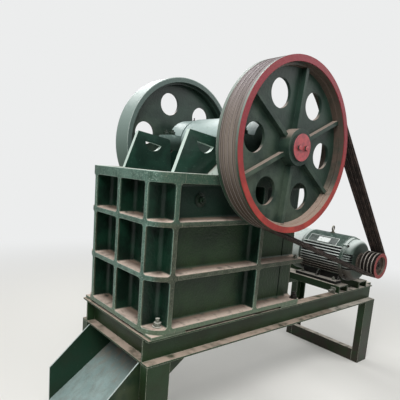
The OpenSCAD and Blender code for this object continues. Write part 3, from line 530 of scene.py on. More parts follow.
# Moving jaw and bearing housings
# Steel castings with the same green enamel as the frame. The jaw hangs on the eccentric shaft,
# and the housings are bolted to shoulders of the side walls.
DUST_AND_TOP_LIGHT_GREEN = "#a3b4b0"
FILM_STREAK = "#93a59f"
UNDER_GREEN = "#49635a"
JAW_SHADED = "#25342d"

# Enamel under pale stone dust: nearly white-green on the round tops as dust and painted top
# light, with painted shade on upright faces low down.
filmed, tree, shader, place = new_material("dust_filmed_top_lit_enamel", DUST_AND_TOP_LIGHT_GREEN, 0.4)
height = node(tree, "SeparateXYZ", {0: place}).outputs["Z"]
# Dust and a painted top light on the faces that look up.
film = times(from_to(facing(place, "Z"), -0.25, 0.45), grains(place, 90, 0.1, 0.4))
upright = either(from_to(facing(place, "X"), -0.2, -0.7), from_to(facing(place, "Y"), -0.5, -0.9))
coat = layered(
    UNDER_GREEN,
    (film, DUST_AND_TOP_LIGHT_GREEN),
    (grains(place, 30, 0.55, 0.75, 5.0), FILM_STREAK),
    (times(upright, from_to(height, SHAFT.z + 0.06, SHAFT.z - 0.02)), JAW_SHADED),
)
skin(shader, coat, place, 20, 0.6, 4, 0.25, 0.75, 4.0)
assign(filmed, "moving_jaw", "near_bearing_cap", "far_bearing_cap",
       "near_bearing_base", "far_bearing_base")


# Shaft and tension rod
# The eccentric shaft is forged and turned. It runs in the two housings and carries the jaw
# and both wheels; the rod holds the jaw back against its toggle.
TURNED_STEEL = "#8c8a84"
GREASE_BROWN = "#5a5048"

# Turned steel under grease: bright with fine rings, dulled by a thin brown film.
turned, tree, shader, place = new_material("greased_turned_steel", TURNED_STEEL, 0.32, 1.0)
rings = node(tree, "Mapping", {"Vector": place, "Scale": (1, 60, 1)}).outputs[0]
coat = layered(TURNED_STEEL, (grains(place, 25, 0.45, 0.7), GREASE_BROWN))
skin(shader, coat, rings, 60, 0.1, 1)
assign(turned, "eccentric_shaft", "motor_shaft", "tension_rod")


# Flywheels
# Cast iron wheels with six round openings and six ribs, green enamel over a turned rim, keyed
# on the shaft. The near one has belt grooves, and its outer face is painted red.
WHEEL_GREEN = "#25382f"
WHEEL_GREEN_DARK = "#1d2d26"
WHEEL_DUSTY_GREEN = "#434f43"
RIM_FACE_GREEN = "#4c5b56"
TREAD_NEAR_SHADE_TO_LIGHT = ("#2b4032", "#868f88")
TREAD_FAR_SHADE_TO_LIGHT = ("#43584e", "#90a09a")
RIM_EDGE_HIGHLIGHT = "#c4cac6"
FACE_RED = "#7c2530"
FACE_RED_LIT_LOW = "#9c3c34"
FACE_RED_DARK = "#752b2c"
GROOVE_IRON = "#4b423d"
GROOVE_IRON_DARK = "#2b2521"
LAND_BRIGHT = "#b3a7a0"
WHEEL_DUST = "#8f8177"
RIM_DUST = "#a08c7f"
RIM_FILM = "#4f443c"
RIM_R = 0.450
RIM_INNER_R = 0.405
RIM_STEP = 0.015
GROOVES = (-0.5505, -0.436)
FACE_Y = -0.567
FIRST_BELT_Y = -0.538
BELT_SPACING = 0.027


def round_axis(place, axis_point):
    """Radius from a level axis along Y through a point, and the place from that point."""
    tree = place.id_data
    offset = node(tree, "VectorMath", {0: place, 1: tuple(axis_point)},
                  operation="SUBTRACT").outputs[0]
    flat = node(tree, "VectorMath", {0: offset, 1: (1, 0, 1)}, operation="MULTIPLY").outputs[0]
    radius = node(tree, "VectorMath", {0: flat}, operation="LENGTH").outputs["Value"]
    return radius, node(tree, "SeparateXYZ", {0: offset}).outputs


def belt_pitch(across):
    """Distance from the middle of the nearest belt, as a share of the belts' spacing."""
    tree = across.id_data
    turns = node(tree, "Math", {0: across, 1: 1 / BELT_SPACING,
                                2: 0.5 - FIRST_BELT_Y / BELT_SPACING},
                 operation="MULTIPLY_ADD").outputs[0]
    part = node(tree, "Math", {0: turns}, operation="FRACT").outputs[0]
    centred = node(tree, "Math", {0: part, 1: 0.5}, operation="SUBTRACT").outputs[0]
    return node(tree, "Math", {0: centred}, operation="ABSOLUTE").outputs[0]


def on_inner_rim(radius):
    """The inside of the rim, as far as its turned step."""
    return from_to(radius, RIM_INNER_R + RIM_STEP, RIM_INNER_R + 0.0125)


def wheel_coat(place, tread_shaded, tread_lit):
    """Dark web, lighter rim, a tread painted dark below as shade and pale on top as light, a
    painted highlight on the rim's edge, and dust on what faces up inside the rim.
    """
    radius, offset = round_axis(place, SHAFT)
    rise = offset["Z"]
    slant = node(place.id_data, "VectorMath", {0: place, 1: (0.6, 0, 0.8)},
                 operation="DOT_PRODUCT").outputs["Value"]
    middle = 0.6 * SHAFT.x + 0.8 * SHAFT.z
    web = layered(
        WHEEL_DUSTY_GREEN,
        (from_to(slant, middle - 0.35, middle + 0.20), WHEEL_GREEN),
        (grains(place, 120), WHEEL_GREEN_DARK),
    )
    # Painted highlight along the rim's outer edge.
    lit = times(edge_mask(place, 4), from_to(radius, RIM_R - 0.012, RIM_R - 0.006))
    step = times(from_to(radius, RIM_INNER_R - 0.003, RIM_INNER_R - 0.001),
                 from_to(rise, -0.12, -0.3))
    settled = times(either(from_to(facing(place, "Z"), 0.3, 0.85), step),
                    grains(place, 50, 0.1, 0.45))
    near_rim = from_to(radius, RIM_INNER_R - 0.02, RIM_INNER_R - 0.01)
    return layered(
        web,
        (from_to(radius, RIM_INNER_R + 0.012, RIM_INNER_R + RIM_STEP), RIM_FACE_GREEN),
        (from_to(radius, RIM_R - 0.006, RIM_R - 0.002),
         layered(tread_shaded, (from_to(rise, -0.25, 0.35), tread_lit))),
        (lit, RIM_EDGE_HIGHLIGHT),
        (times(settled, on_inner_rim(radius)), layered(WHEEL_DUST, (near_rim, RIM_DUST))),
    )


# Enamel and bare iron: a dull green wheel with painted highlights on its turned edges, a tread
# painted lighter on top, a brown film inside the rim, grooves that the belts have scored dark and
# polished on their lands, and a brushed red face painted lighter low down as light.
belted, tree, shader, place = new_material(
    "enamelled_iron_with_polished_grooves", WHEEL_GREEN, 0.42, gloss=0.25)
radius, offset = round_axis(place, SHAFT)
across, rise = offset["Y"], offset["Z"]
film = times(from_to(radius, RIM_INNER_R - 0.003, RIM_INNER_R - 0.001), on_inner_rim(radius),
             from_to(rise, -0.25, -0.05), grains(place, 70, 0.2, 0.5))
ringed = node(tree, "Mapping", {"Vector": place, "Scale": (0.02, 1, 0.02)}).outputs[0]
scored = times(from_to(radius, RIM_R - 0.012, RIM_R - 0.001), grains(ringed, 5, 0.25, 0.5))
grooved = times(from_to(radius, RIM_R - 0.026, RIM_R - 0.02),
                from_to(across, GROOVES[0] - 0.001, GROOVES[0] + 0.001),
                from_to(across, GROOVES[1] + 0.001, GROOVES[1] - 0.001))
polished = layered(
    GROOVE_IRON_DARK,
    (scored, GROOVE_IRON),
    (times(from_to(belt_pitch(across), 0.455, 0.475), 0.8), LAND_BRIGHT),
)
outer_face = times(from_to(across, FACE_Y + 0.005, FACE_Y + 0.003),
                   from_to(radius, RIM_R - 0.036, RIM_R - 0.034))
# Painted light: the red face is lighter and warmer low down.
red = layered(FACE_RED, (from_to(rise, 0.15, -0.30), FACE_RED_LIT_LOW),
              (times(grains(place, 70), 0.6), FACE_RED_DARK))
coat = layered(wheel_coat(place, *TREAD_NEAR_SHADE_TO_LIGHT), (film, RIM_FILM), (grooved, polished),
               (outer_face, red))
skin(shader, coat, place, 14, 0.5, 3, 0.25, 0.75, 4.0)
assign(belted, "near_flywheel")

# The same enamel all over: a half glossy green wheel with a tread painted pale on top as light
# and a painted highlight on its edge.
plain, tree, shader, place = new_material("enamelled_iron_wheel", WHEEL_GREEN, 0.42, gloss=0.35)
skin(shader, wheel_coat(place, *TREAD_FAR_SHADE_TO_LIGHT), place, 14, 0.5, 3, 0.25, 0.75, 4.0)
assign(plain, "far_flywheel")


# End caps
# Round steel plates on the ends of the shaft, each held by two screws. They were painted red
# with a brush on the face alone.
CAP_RED = "#a34347"
CAP_RED_DARK = "#86393f"
CAP_FLANK = "#2c302c"

# Brushed red enamel: half glossy and blotched on the face, dark and greasy on the turned side.
cap_paint, tree, shader, place = new_material("red_enamel", CAP_RED, 0.45)
coat = layered(
    CAP_RED,
    (grains(place, 20, 0.4, 0.65), CAP_RED_DARK),
    (looks_sideways(place, 0.8, 0.5), CAP_FLANK),
)
skin(shader, coat, place, 6, 0.2, 1.5)
assign(cap_paint, "shaft_end_caps")


# Motor
# A foot-mounted motor of grey cast iron with level fins, sprayed grey-green. Dust and a painted
# highlight make the fins' edges and the fan cover pale; the gaps are painted black as shade, and
# the lower half dark as shade with oil.
MOTOR_GREEN = "#6f8278"
MOTOR_TOP = "#40524a"
MOTOR_GAP_SHADE = "#0f1210"
MOTOR_HIGHLIGHT_PALE = "#e4ebe6"
MOTOR_SHADED_OILY = "#3c352f"
FIN_SHADED_OILY = "#6b6057"
FIN_EDGE_SHADED_OILY = "#7a6f66"
FOOT_SHADE_BLACK = "#1b1a18"
FOOT_DUST_AND_LIGHT = "#c6bfb5"
BELL_GREEN = "#5c6b63"
BELL_GREEN_DARK = "#47554d"
BELL_HIGHLIGHT = "#e2eae5"
BELL_FACE_SHADE = "#323d36"
HUB_BROWN = "#463d36"
HUB_EDGE_HIGHLIGHT = "#8a8076"
COVER_GREEN = "#c5d1cb"
COVER_PALE_AND_LIT = "#e9f0ec"
COVER_DUSTY = "#cfdbd5"
COVER_SHADED_OILY = "#53635b"
FIN_BAND = 0.104
motor_low, motor_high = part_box("motor_shaft")
MOTOR = Vector(((motor_low[0] + motor_high[0]) / 2, 0, (motor_low[2] + motor_high[2]) / 2))
MOTOR_R = 0.175
BELL_R = 0.9 * MOTOR_R
BELL_FACE_Y = -0.394
BELL_BACK_Y = -0.330
HUB_R = 0.37 * MOTOR_R
VENT_Y = 0.163
VENT_R = 0.127

# Sprayed enamel on the ribbed body: painted white on the fins as bleached paint and a highlight,
# painted black as shade between and under them.
motor_paint, tree, shader, place = new_material(
    "sprayed_enamel_on_iron", MOTOR_GREEN, 0.45, gloss=0.25)
radius, offset = round_axis(place, MOTOR)
rise = offset["Z"]
# Painted shade with oil: the lower half of the body is darker and browner.
shade_and_oil = from_to(rise, 0.03, -0.07)
off_middle = node(tree, "Math", {0: rise}, operation="ABSOLUTE").outputs[0]
finned = from_to(off_middle, FIN_BAND + 0.001, FIN_BAND - 0.001)
# Painted shade: black in the gaps between the fins and on their undersides.
gap = either(times(finned, from_to(radius, MOTOR_R - 0.006, MOTOR_R - 0.014)),
             times(finned, from_to(facing(place, "Z"), -0.4, -0.8)))
fins = layered(MOTOR_HIGHLIGHT_PALE, (grains(place, 30, 0.6, 0.85), MOTOR_GREEN), (shade_and_oil, FIN_SHADED_OILY))
coat = layered(
    MOTOR_TOP,
    (grains(place, 25, 0.45, 0.7, 4.0), MOTOR_GREEN),
    (finned, fins),
    (gap, MOTOR_GAP_SHADE),
    # Painted shade: the feet are black, and pale on their tops with dust and painted light.
    (from_to(rise, -FIN_BAND - 0.006, -FIN_BAND - 0.012),
     layered(FOOT_SHADE_BLACK, (from_to(facing(place, "Z"), 0.5, 0.9), FOOT_DUST_AND_LIGHT))),
    (times(edge_mask(place, 3), grains(place, 30, 0.15, 0.4)),
     layered(MOTOR_HIGHLIGHT_PALE, (times(shade_and_oil, 0.7), FIN_EDGE_SHADED_OILY))),
)
skin(shader, coat, place, 10, 0.3, 2)
assign(motor_paint, "motor_frame")

# The same enamel on the smooth bells and box: white on top with dust and a painted highlight,
# brown below with oil and painted shade, with painted shade on the bell's front and in its slots.
bell_paint, tree, shader, place = new_material(
    "dusty_sprayed_enamel", MOTOR_GREEN, 0.45, gloss=0.3)
radius, offset = round_axis(place, MOTOR)
rise, across = offset["Z"], offset["Y"]
off_middle = node(tree, "Math", {0: rise}, operation="ABSOLUTE").outputs[0]
hub = times(from_to(radius, HUB_R + 0.002, HUB_R),
            from_to(across, BELL_BACK_Y, BELL_BACK_Y - 0.010))
# Painted shade: black in the slots between the bell's fins.
slot = times(from_to(radius, BELL_R - 0.012, BELL_R - 0.020),
             from_to(off_middle, 0.050, 0.047),
             from_to(across, BELL_FACE_Y + 0.002, BELL_FACE_Y + 0.006),
             from_to(across, BELL_BACK_Y, BELL_BACK_Y - 0.006))
coat = layered(
    BELL_GREEN,
    (grains(place, 60), BELL_GREEN_DARK),
    # Painted highlight on faces that look up and on edges, with dust.
    (either(times(from_to(facing(place, "Z"), 0.35, 0.9), 0.9), edge_mask(place, 3)), BELL_HIGHLIGHT),
    # Painted shade with oil: the bells are dark brown low down.
    (times(from_to(rise, 0.02, -0.08), 0.9), MOTOR_SHADED_OILY),
    # Painted shade: the bell's flat front face is dark green.
    (from_to(across, BELL_FACE_Y + 0.008, BELL_FACE_Y + 0.001), BELL_FACE_SHADE),
    # Painted highlight on the hub's edges.
    (hub, layered(HUB_BROWN, (edge_mask(place, 3), HUB_EDGE_HIGHLIGHT))),
    (slot, MOTOR_GAP_SHADE),
)
skin(shader, coat, place, 10, 0.3, 2)
assign(bell_paint, "motor_end_bells", "terminal_box")

# Enamel on pressed sheet that the sun has bleached nearly white, with a painted highlight,
# painted shade below and black painted shade in its open end.
cover_paint, tree, shader, place = new_material(
    "bleached_enamel_on_pressed_sheet", COVER_GREEN, 0.42)
radius, offset = round_axis(place, MOTOR)
coat = layered(
    COVER_PALE_AND_LIT,
    (grains(place, 70), COVER_DUSTY),
    # Painted shade: the cover is darker low down.
    (from_to(offset["Z"], 0.02, -0.10), COVER_SHADED_OILY),
    # Painted shade: the open end of the cover is black inside its rim.
    (times(from_to(offset["Y"], VENT_Y - 0.0005, VENT_Y + 0.0005),
           from_to(radius, VENT_R + 0.001, VENT_R - 0.001)), MOTOR_GAP_SHADE),
)
skin(shader, coat, place, 10, 0.15, 1.5)
assign(cover_paint, "fan_cover")


# Motor pulley
# A cast iron V-pulley. The belts keep its lands bright and its grooves dark, and only the
# ring round its outer face is painted red.
PULLEY_IRON = "#8d8780"
PULLEY_GROOVE = "#35302d"
PULLEY_LAND = "#b5ada4"
RECESS_WALL_DUSTY_LIT = "#a59a8c"
RECESS_FLOOR_SHADE = "#4f443a"
RING_RED = "#93403f"
RING_PINK_HIGHLIGHT = "#c9a6a0"
PULLEY_FACE_Y = -0.552
PULLEY_R = 0.094

# Iron that belts have worn: bright lands over dark grooves, a recess painted pale on its wall and
# dark on its floor as light and shade, and a red ring with a pink painted highlight.
pulley_iron, tree, shader, place = new_material("belt_worn_iron", PULLEY_IRON, 0.4, 0.6)
radius, offset = round_axis(place, MOTOR)
across = offset["Y"]
bottom = from_to(across, PULLEY_FACE_Y + 0.016, PULLEY_FACE_Y + 0.019)
# Painted highlight: the red ring's edges are pink.
ring = times(from_to(across, PULLEY_FACE_Y + 0.004, PULLEY_FACE_Y + 0.002),
             from_to(radius, PULLEY_R - 0.028, PULLEY_R - 0.025))
coat = layered(
    PULLEY_GROOVE,
    (from_to(radius, PULLEY_R - 0.008, PULLEY_R - 0.001), PULLEY_LAND),
    # Painted light and shade in the recess: its wall pale with dust, its floor dark brown.
    (from_to(radius, PULLEY_R - 0.024, PULLEY_R - 0.028),
     layered(RECESS_WALL_DUSTY_LIT, (bottom, RECESS_FLOOR_SHADE))),
    (ring, layered(RING_RED, (times(edge_mask(place, 2), 0.8), RING_PINK_HIGHLIGHT))),
)
skin(shader, coat, place, 8, 0.2, 1.5)
assign(pulley_iron, "motor_pulley")


# V-belts
# Four wrapped rubber belts of C section with a woven jacket, in the grooves of both wheels.
# Stone dust has browned them, thickest where they wrap round the large wheel.
BELT_BLACK = "#1a1513"
BELT_BROWN = "#352a26"
BELT_FRAYED_AND_HIGHLIT = "#9b8b82"
BELT_DUSTY = "#80766d"
BELT_SHADED = "#473d33"
BELT_TOP_LIT = "#90878a"
BELT_STREAK = "#3b302b"
BELT_SHOULDER_SHADE = "#2c2421"

# Woven rubber: black-brown and matt, frayed pale at its edges with a painted highlight, grey with
# dust on the wheel, painted from shade below to light on top with painted shade between the
# belts.
belt_rubber, tree, shader, place = new_material(
    "wrapped_rubber_belt", BELT_BLACK, 0.75, gloss=0.15)
radius, offset = round_axis(place, SHAFT)
rise = offset["Z"]
ringed = node(tree, "Mapping", {"Vector": place, "Scale": (0.02, 1, 0.02)}).outputs[0]
# Dust on the wheel, painted from shade below to light on top, with painted shade between the
# belts.
dusty_and_lit = layered(
    BELT_SHADED,
    (from_to(rise, -0.42, 0.02), BELT_DUSTY),
    (from_to(rise, 0.02, 0.40), BELT_TOP_LIT),
    (times(grains(ringed, 5, 0.40, 0.62), 0.55), BELT_STREAK),
    (times(from_to(belt_pitch(offset["Y"]), 0.31, 0.40), 0.75), BELT_SHOULDER_SHADE),
)
coat = layered(
    BELT_BLACK,
    (grains(place, 40, 0.4, 0.65), BELT_BROWN),
    # Pale frayed edges with a painted highlight.
    (times(edge_mask(place, 2), grains(place, 15, 0.2, 0.6)), BELT_FRAYED_AND_HIGHLIT),
    (from_to(radius, RIM_R + 0.008, RIM_R + 0.003), dusty_and_lit),
)
skin(shader, coat, place, 4, 0.3, 1)
assign(belt_rubber, "v_belts")


# Spring on the tension rod
# A coil of round spring wire, squeezed between the rear wall and the rod's nut. It pulls the
# jaw's foot back, so that the toggle plate can't drop out.
WIRE_BROWN = "#4a4440"
WIRE_R = 0.006
TURNS = 6
STEPS = 24
spring_low, spring_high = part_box("tension_spring")
COIL_R = (spring_high[2] - spring_low[2]) / 2 - WIRE_R
spring_mid = (Vector(spring_low) + Vector(spring_high)) / 2


def finish_piece(bm, name, material, body, smooth_deg=35):
    bmesh.ops.remove_doubles(bm, verts=bm.verts, dist=1e-6)
    bmesh.ops.recalc_face_normals(bm, faces=bm.faces)
    for face in bm.faces:
        face.smooth = True
    mesh = bpy.data.meshes.new(name)
    bm.to_mesh(mesh)
    bm.free()
    mesh.set_sharp_from_angle(angle=math.radians(smooth_deg))
    mesh.materials.append(material)
    obj = new_object(name, mesh)
    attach(obj, body)
    return obj


def turn(bm, verts, degrees, axis):
    """Turn vertices about an axis through the origin."""
    bmesh.ops.rotate(bm, verts=verts, cent=(0, 0, 0),
                     matrix=Matrix.Rotation(math.radians(degrees), 3, axis))


bm = bmesh.new()
wire = bmesh.ops.create_circle(bm, cap_ends=False, radius=WIRE_R, segments=10)["verts"]
turn(bm, wire, 90, "X")
turn(bm, wire, 90, "Y")
start = Vector((spring_low[0] + WIRE_R, spring_mid.y, spring_mid.z + COIL_R))
bmesh.ops.translate(bm, verts=wire, vec=start)
length = spring_high[0] - spring_low[0] - 2 * WIRE_R
bmesh.ops.spin(
    bm, geom=bm.edges[:], cent=(0, spring_mid.y, spring_mid.z), axis=(1, 0, 0),
    dvec=(length / (TURNS * STEPS), 0, 0), angle=math.radians(360 * TURNS), steps=TURNS * STEPS,
    use_duplicate=False)
bmesh.ops.holes_fill(bm, edges=[e for e in bm.edges if e.is_boundary])

# Oiled spring wire: dark and half glossy, with a soft line of light along each turn.
spring_steel = new_material("oiled_spring_wire", WIRE_BROWN, 0.45, 0.8)[0]
spring = finish_piece(bm, "coil_spring", spring_steel, "root")
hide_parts("tension_spring")


# Bolts of the frame and the housings
# Hexagon bolts, nuts and washers of forged steel. The housings' and cheek plates' are brushed
# over with the enamel, the end caps' with their red, and the others are dusty or bare black.
FASTENER_BLACK = "#24211f"
FASTENER_RUST = "#4b3d33"
BOLT_DUSTY = "#84867b"
BOLT_DUSTY_DARK = "#55574e"
BOLT_TOP = "#b9b8ad"
BRUSHED_GREEN = "#162a1b"
BRUSHED_GREEN_DARK = "#0d1a11"
BRUSHED_EDGE_HIGHLIGHT = "#4c6355"
UP = (0, 0, 1)
FOOT_TOP = -0.943
HOLD_DOWN = (("front", -0.648, 0.311), ("rear", 0.410, 0.346))
CHEEK_BOLT = (-0.413, 0.290, -0.306)
CAP_NUTS_X = (-0.200, 0.200)
CAP_NUTS_Y = (0.288, 0.352)
CAP_NUTS_Z = 0.048
HOUSING_TOP = (0, 0.320, 0.160)
END_CAP_Y = 0.583
END_SCREWS_X = (-0.029, 0.029)
END_SCREWS_Z = -0.002
BELT_END_BOLT = (0.387, 0.342, -0.672)

# Bare blackened steel: nearly black, with brown where damp dust has started to rust it.
blackened, tree, shader, place = new_material("blackened_steel", FASTENER_BLACK, 0.5, 0.6)
coat = layered(FASTENER_BLACK, (grains(place, 5, 0.5, 0.75), FASTENER_RUST))
skin(shader, coat, place, 3, 0.1, 0.5)

# Steel under rock dust: matt grey-green with a paler top.
dusty_steel, tree, shader, place = new_material("dusted_steel", BOLT_DUSTY, 0.85)
coat = layered(
    BOLT_DUSTY_DARK,
    (grains(place, 6, 0.4, 0.7), BOLT_DUSTY),
    (from_to(facing(place, "Z"), 0.2, 0.9), BOLT_TOP),
)
skin(shader, coat, place, 3, 0.15, 0.5)

# Steel brushed over with the frame's enamel: deep glossy green, with a faint painted highlight on
# its corners.
painted_steel, tree, shader, place = new_material(
    "enamel_over_steel", BRUSHED_GREEN, 0.4, gloss=0.35)
coat = layered(
    BRUSHED_GREEN,
    (grains(place, 12), BRUSHED_GREEN_DARK),
    (times(edge_mask(place, 1.5), 0.3), BRUSHED_EDGE_HIGHLIGHT),
)
skin(shader, coat, place, 4, 0.15, 0.8)


def edges_of(bm, verts):
    """The edges of one loose form, in the order of the mesh."""
    verts = set(verts)
    return [e for e in bm.edges if e.verts[0] in verts]


def bevel(bm, edges, offset, segments=2):
    bmesh.ops.bevel(bm, geom=edges, offset=offset, offset_type="OFFSET",
                    segments=segments, profile=0.5, affect="EDGES", material=-1)


def round_bar(bm, at, axis, radius, height, sides=24, bevel_to=0.0012):
    """A bar of this radius on the face at `at`, standing up along axis, with round rims."""
    lean = Vector(UP).rotation_difference(Vector(axis)).to_matrix().to_4x4()
    before = set(bm.verts)
    bar = bmesh.ops.create_cone(bm, cap_ends=True, segments=sides, radius1=radius,
                                radius2=radius, depth=height)["verts"]
    rims = [e for e in edges_of(bm, bar) if abs(e.verts[0].co.z - e.verts[1].co.z) < 1e-6]
    bevel(bm, rims, min(0.2 * height, bevel_to))
    made = [v for v in bm.verts if v not in before]
    bmesh.ops.transform(bm, verts=made, matrix=Matrix.Translation(
        Vector(at) + Vector(axis) * height / 2) @ lean)


def hexagon(bm, at, axis, flats, height):
    """A hexagon of this width across flats."""
    round_bar(bm, at, axis, flats / math.sqrt(3), height, 6, 0.06 * flats)


def bolt(bm, at, axis, washer_r, flats, nut_h, stud_r, stud_h, washer_t=0.004):
    """A washer, a nut on it and the stud's end."""
    along = Vector(axis)
    at = Vector(at)
    round_bar(bm, at, axis, washer_r, washer_t)
    hexagon(bm, at + along * washer_t, axis, flats, nut_h)
    if stud_h:
        round_bar(bm, at + along * (washer_t + nut_h), axis, stud_r, stud_h)


def mirrored(side, place):
    """A place on the near side (-1) or the far side (1) of the crusher."""
    x, y, z = place
    return from_shaft(x, side * y, z)


for (end, x, y), material in zip(HOLD_DOWN, (dusty_steel, blackened)):
    bm = bmesh.new()
    for side in (-1, 1):
        bolt(bm, mirrored(side, (x, y, FOOT_TOP)), UP, 0.026, 0.036, 0.020, 0.011, 0.020)
    finish_piece(bm, end + "_hold_down_bolts", material, "root")

bm = bmesh.new()
for side in (-1, 1):
    wall = mirrored(side, CHEEK_BOLT)
    outwards = Vector((0, side, 0))
    round_bar(bm, wall, outwards, 0.036, 0.006)
    bolt(bm, wall + outwards * 0.006, outwards, 0.030, 0.036, 0.016, 0.011, 0.014)
finish_piece(bm, "cheek_plate_bolts", painted_steel, "root")

bm = bmesh.new()
for side in (-1, 1):
    for x in CAP_NUTS_X:
        for y in CAP_NUTS_Y:
            nut = mirrored(side, (x, y, CAP_NUTS_Z))
            bolt(bm, nut, UP, 0.026, 0.036, 0.018, 0.012, 0.012)
finish_piece(bm, "housing_cap_nuts", painted_steel, "root")

bm = bmesh.new()
for side in (-1, 1):
    cap_top = mirrored(side, HOUSING_TOP)
    hexagon(bm, cap_top, UP, 0.014, 0.008)
    round_bar(bm, cap_top + Vector((0, 0, 0.008)), UP, 0.0035, 0.008, 12, 0.0006)
    knob = bmesh.ops.create_uvsphere(bm, u_segments=12, v_segments=8, radius=0.0045)["verts"]
    bmesh.ops.translate(bm, verts=knob, vec=cap_top + Vector((0, 0, 0.018)))
finish_piece(bm, "grease_nipples", blackened, "root")

bm = bmesh.new()
for side in (-1, 1):
    for x in END_SCREWS_X:
        cap = mirrored(side, (x, END_CAP_Y, END_SCREWS_Z))
        round_bar(bm, cap, (0, side, 0), 0.0155, 0.002)
        hexagon(bm, cap + Vector((0, side * 0.002, 0)), (0, side, 0), 0.025, 0.010)
finish_piece(bm, "end_cap_screws", cap_paint, "rotor")

bm = bmesh.new()
for side in (-1, 1):
    bolt(bm, mirrored(side, BELT_END_BOLT), UP, 0.020, 0.024, 0.012, 0.008, 0.008)
finish_piece(bm, "belt_end_bolts", dusty_steel, "root")


# Bolts of the motor
# Hexagon bolts of bright zinc on the feet, now pale with dust, and short dark ones in the four
# bosses of the drive-end bell; a bolt with a thick washer closes the pulley's bore.
FOOT_BOLT_X = 0.1395
FOOT_BOLTS_Y = (-0.273, 0.006)
FOOT_TOP_RISE = -0.158
BELL_BOLT_R = 0.158
BELL_BOSS_Y = -0.340
PULLEY_RECESS_Y = -0.532

bm = bmesh.new()
for side in (-1, 1):
    for y in FOOT_BOLTS_Y:
        foot = MOTOR + Vector((side * FOOT_BOLT_X, y, FOOT_TOP_RISE))
        bolt(bm, foot, UP, 0.015, 0.021, 0.011, 0.006, 0.009, 0.003)
finish_piece(bm, "motor_foot_bolts", dusty_steel, "root")

bm = bmesh.new()
for quarter in range(4):
    angle = math.radians(45 + 90 * quarter)
    boss = MOTOR + Vector(
        (BELL_BOLT_R * math.cos(angle), BELL_BOSS_Y, BELL_BOLT_R * math.sin(angle)))
    bolt(bm, boss, (0, -1, 0), 0.011, 0.016, 0.008, 0.004, 0, 0.002)
finish_piece(bm, "motor_bell_bolts", blackened, "root")

bm = bmesh.new()
recess_floor = MOTOR + Vector((0, PULLEY_RECESS_Y, 0))
bolt(bm, recess_floor, (0, -1, 0), 0.029, 0.019, 0.008, 0.004, 0, 0.005)
finish_piece(bm, "pulley_end_bolt", blackened, "motor_rotor")


# Belt tension screws
# Two lugs of flat bar welded on the stand's channels, each with a long screw and its lock nut
# that push the front motor rail away from the frame. Bare steel, grey with dust.
LUG_X = 0.897
LUG_SIZE = (0.010, 0.036, 0.046)
LUG_Y = 0.338
SCREW_Z = -0.958
CHANNEL_TOP = -0.983
RAIL_FACE_X = 0.9335
FORWARD = (-1, 0, 0)


def block(bm, size):
    """A sharp block of this size round the origin."""
    made = bmesh.ops.create_cube(bm, size=1)["verts"]
    bmesh.ops.scale(bm, verts=made, vec=size)
    return made


bm = bmesh.new()
for side in (-1, 1):
    lug = block(bm, LUG_SIZE)
    bevel(bm, edges_of(bm, lug), 0.0015)
    loose = [v for v in bm.verts if abs(v.co.x) < LUG_SIZE[0] and abs(v.co.y) < 0.02]
    bmesh.ops.translate(bm, verts=loose,
                        vec=from_shaft(LUG_X, side * LUG_Y, CHANNEL_TOP + LUG_SIZE[2] / 2))
    round_bar(bm, from_shaft(RAIL_FACE_X, side * LUG_Y, SCREW_Z), FORWARD, 0.006, 0.075)
    lug_face = from_shaft(LUG_X - LUG_SIZE[0] / 2, side * LUG_Y, SCREW_Z)
    hexagon(bm, lug_face, FORWARD, 0.019, 0.010)
    hexagon(bm, from_shaft(LUG_X - 0.037, side * LUG_Y, SCREW_Z), FORWARD, 0.019, 0.012)
finish_piece(bm, "belt_tension_screws", dusty_steel, "root")


# Welds
# Hand-laid electrode welds that join the legs, the rails and the chute to the channels. Each is a
# row of overlapping scales of melted steel, splashed with the olive enamel.
BEAD_OLIVE = "#3a4638"
BEAD_OLIVE_DARK = "#2b3a2a"
BEAD_DUSTY = "#59614f"
BEAD_BARE = "#98a08e"
BEAD_R = 0.0042
BEAD_STEP = 0.0052
LEG_TOP = -1.123

# Enamel on a rippled bead: olive, dusty on its scales, with pale specks where it is bare.
weld_steel, tree, shader, place = new_material("enamelled_weld_bead", BEAD_OLIVE, 0.5)
coat = layered(
    BEAD_OLIVE_DARK,
    (grains(place, 8, 0.4, 0.65), BEAD_DUSTY),
    (grains(place, 5, 0.6, 0.75), BEAD_BARE),
)
skin(shader, coat, place, 3, 0.3)


def weld(bm, start, end):
    run = Vector(end) - Vector(start)
    count = max(2, round(run.length / BEAD_STEP))
    for k in range(count + 1):
        scale = bmesh.ops.create_icosphere(bm, subdivisions=1, radius=BEAD_R)["verts"]
        drift = 0.0006 * math.sin(2.3 * k)
        bmesh.ops.translate(bm, verts=scale, vec=from_shaft(*start) + run * k / count
                            + Vector((drift, drift, drift)))


bm = bmesh.new()
for side in (-1, 1):
    for x0, x1 in ((-0.727, -0.596), (1.374, 1.505)):
        weld(bm, (x0, side * 0.367, LEG_TOP), (x1, side * 0.367, LEG_TOP))
        weld(bm, (x0, side * 0.309, LEG_TOP), (x1, side * 0.309, LEG_TOP))
    weld(bm, (-0.660, side * 0.286, LEG_TOP), (-0.380, side * 0.286, LEG_TOP))
    for x in (RAIL_FACE_X, 1.0535, 1.2125, 1.3325):
        weld(bm, (x, side * 0.366, CHANNEL_TOP), (x, side * 0.312, CHANNEL_TOP))
finish_piece(bm, "welds", weld_steel, "root", 80)


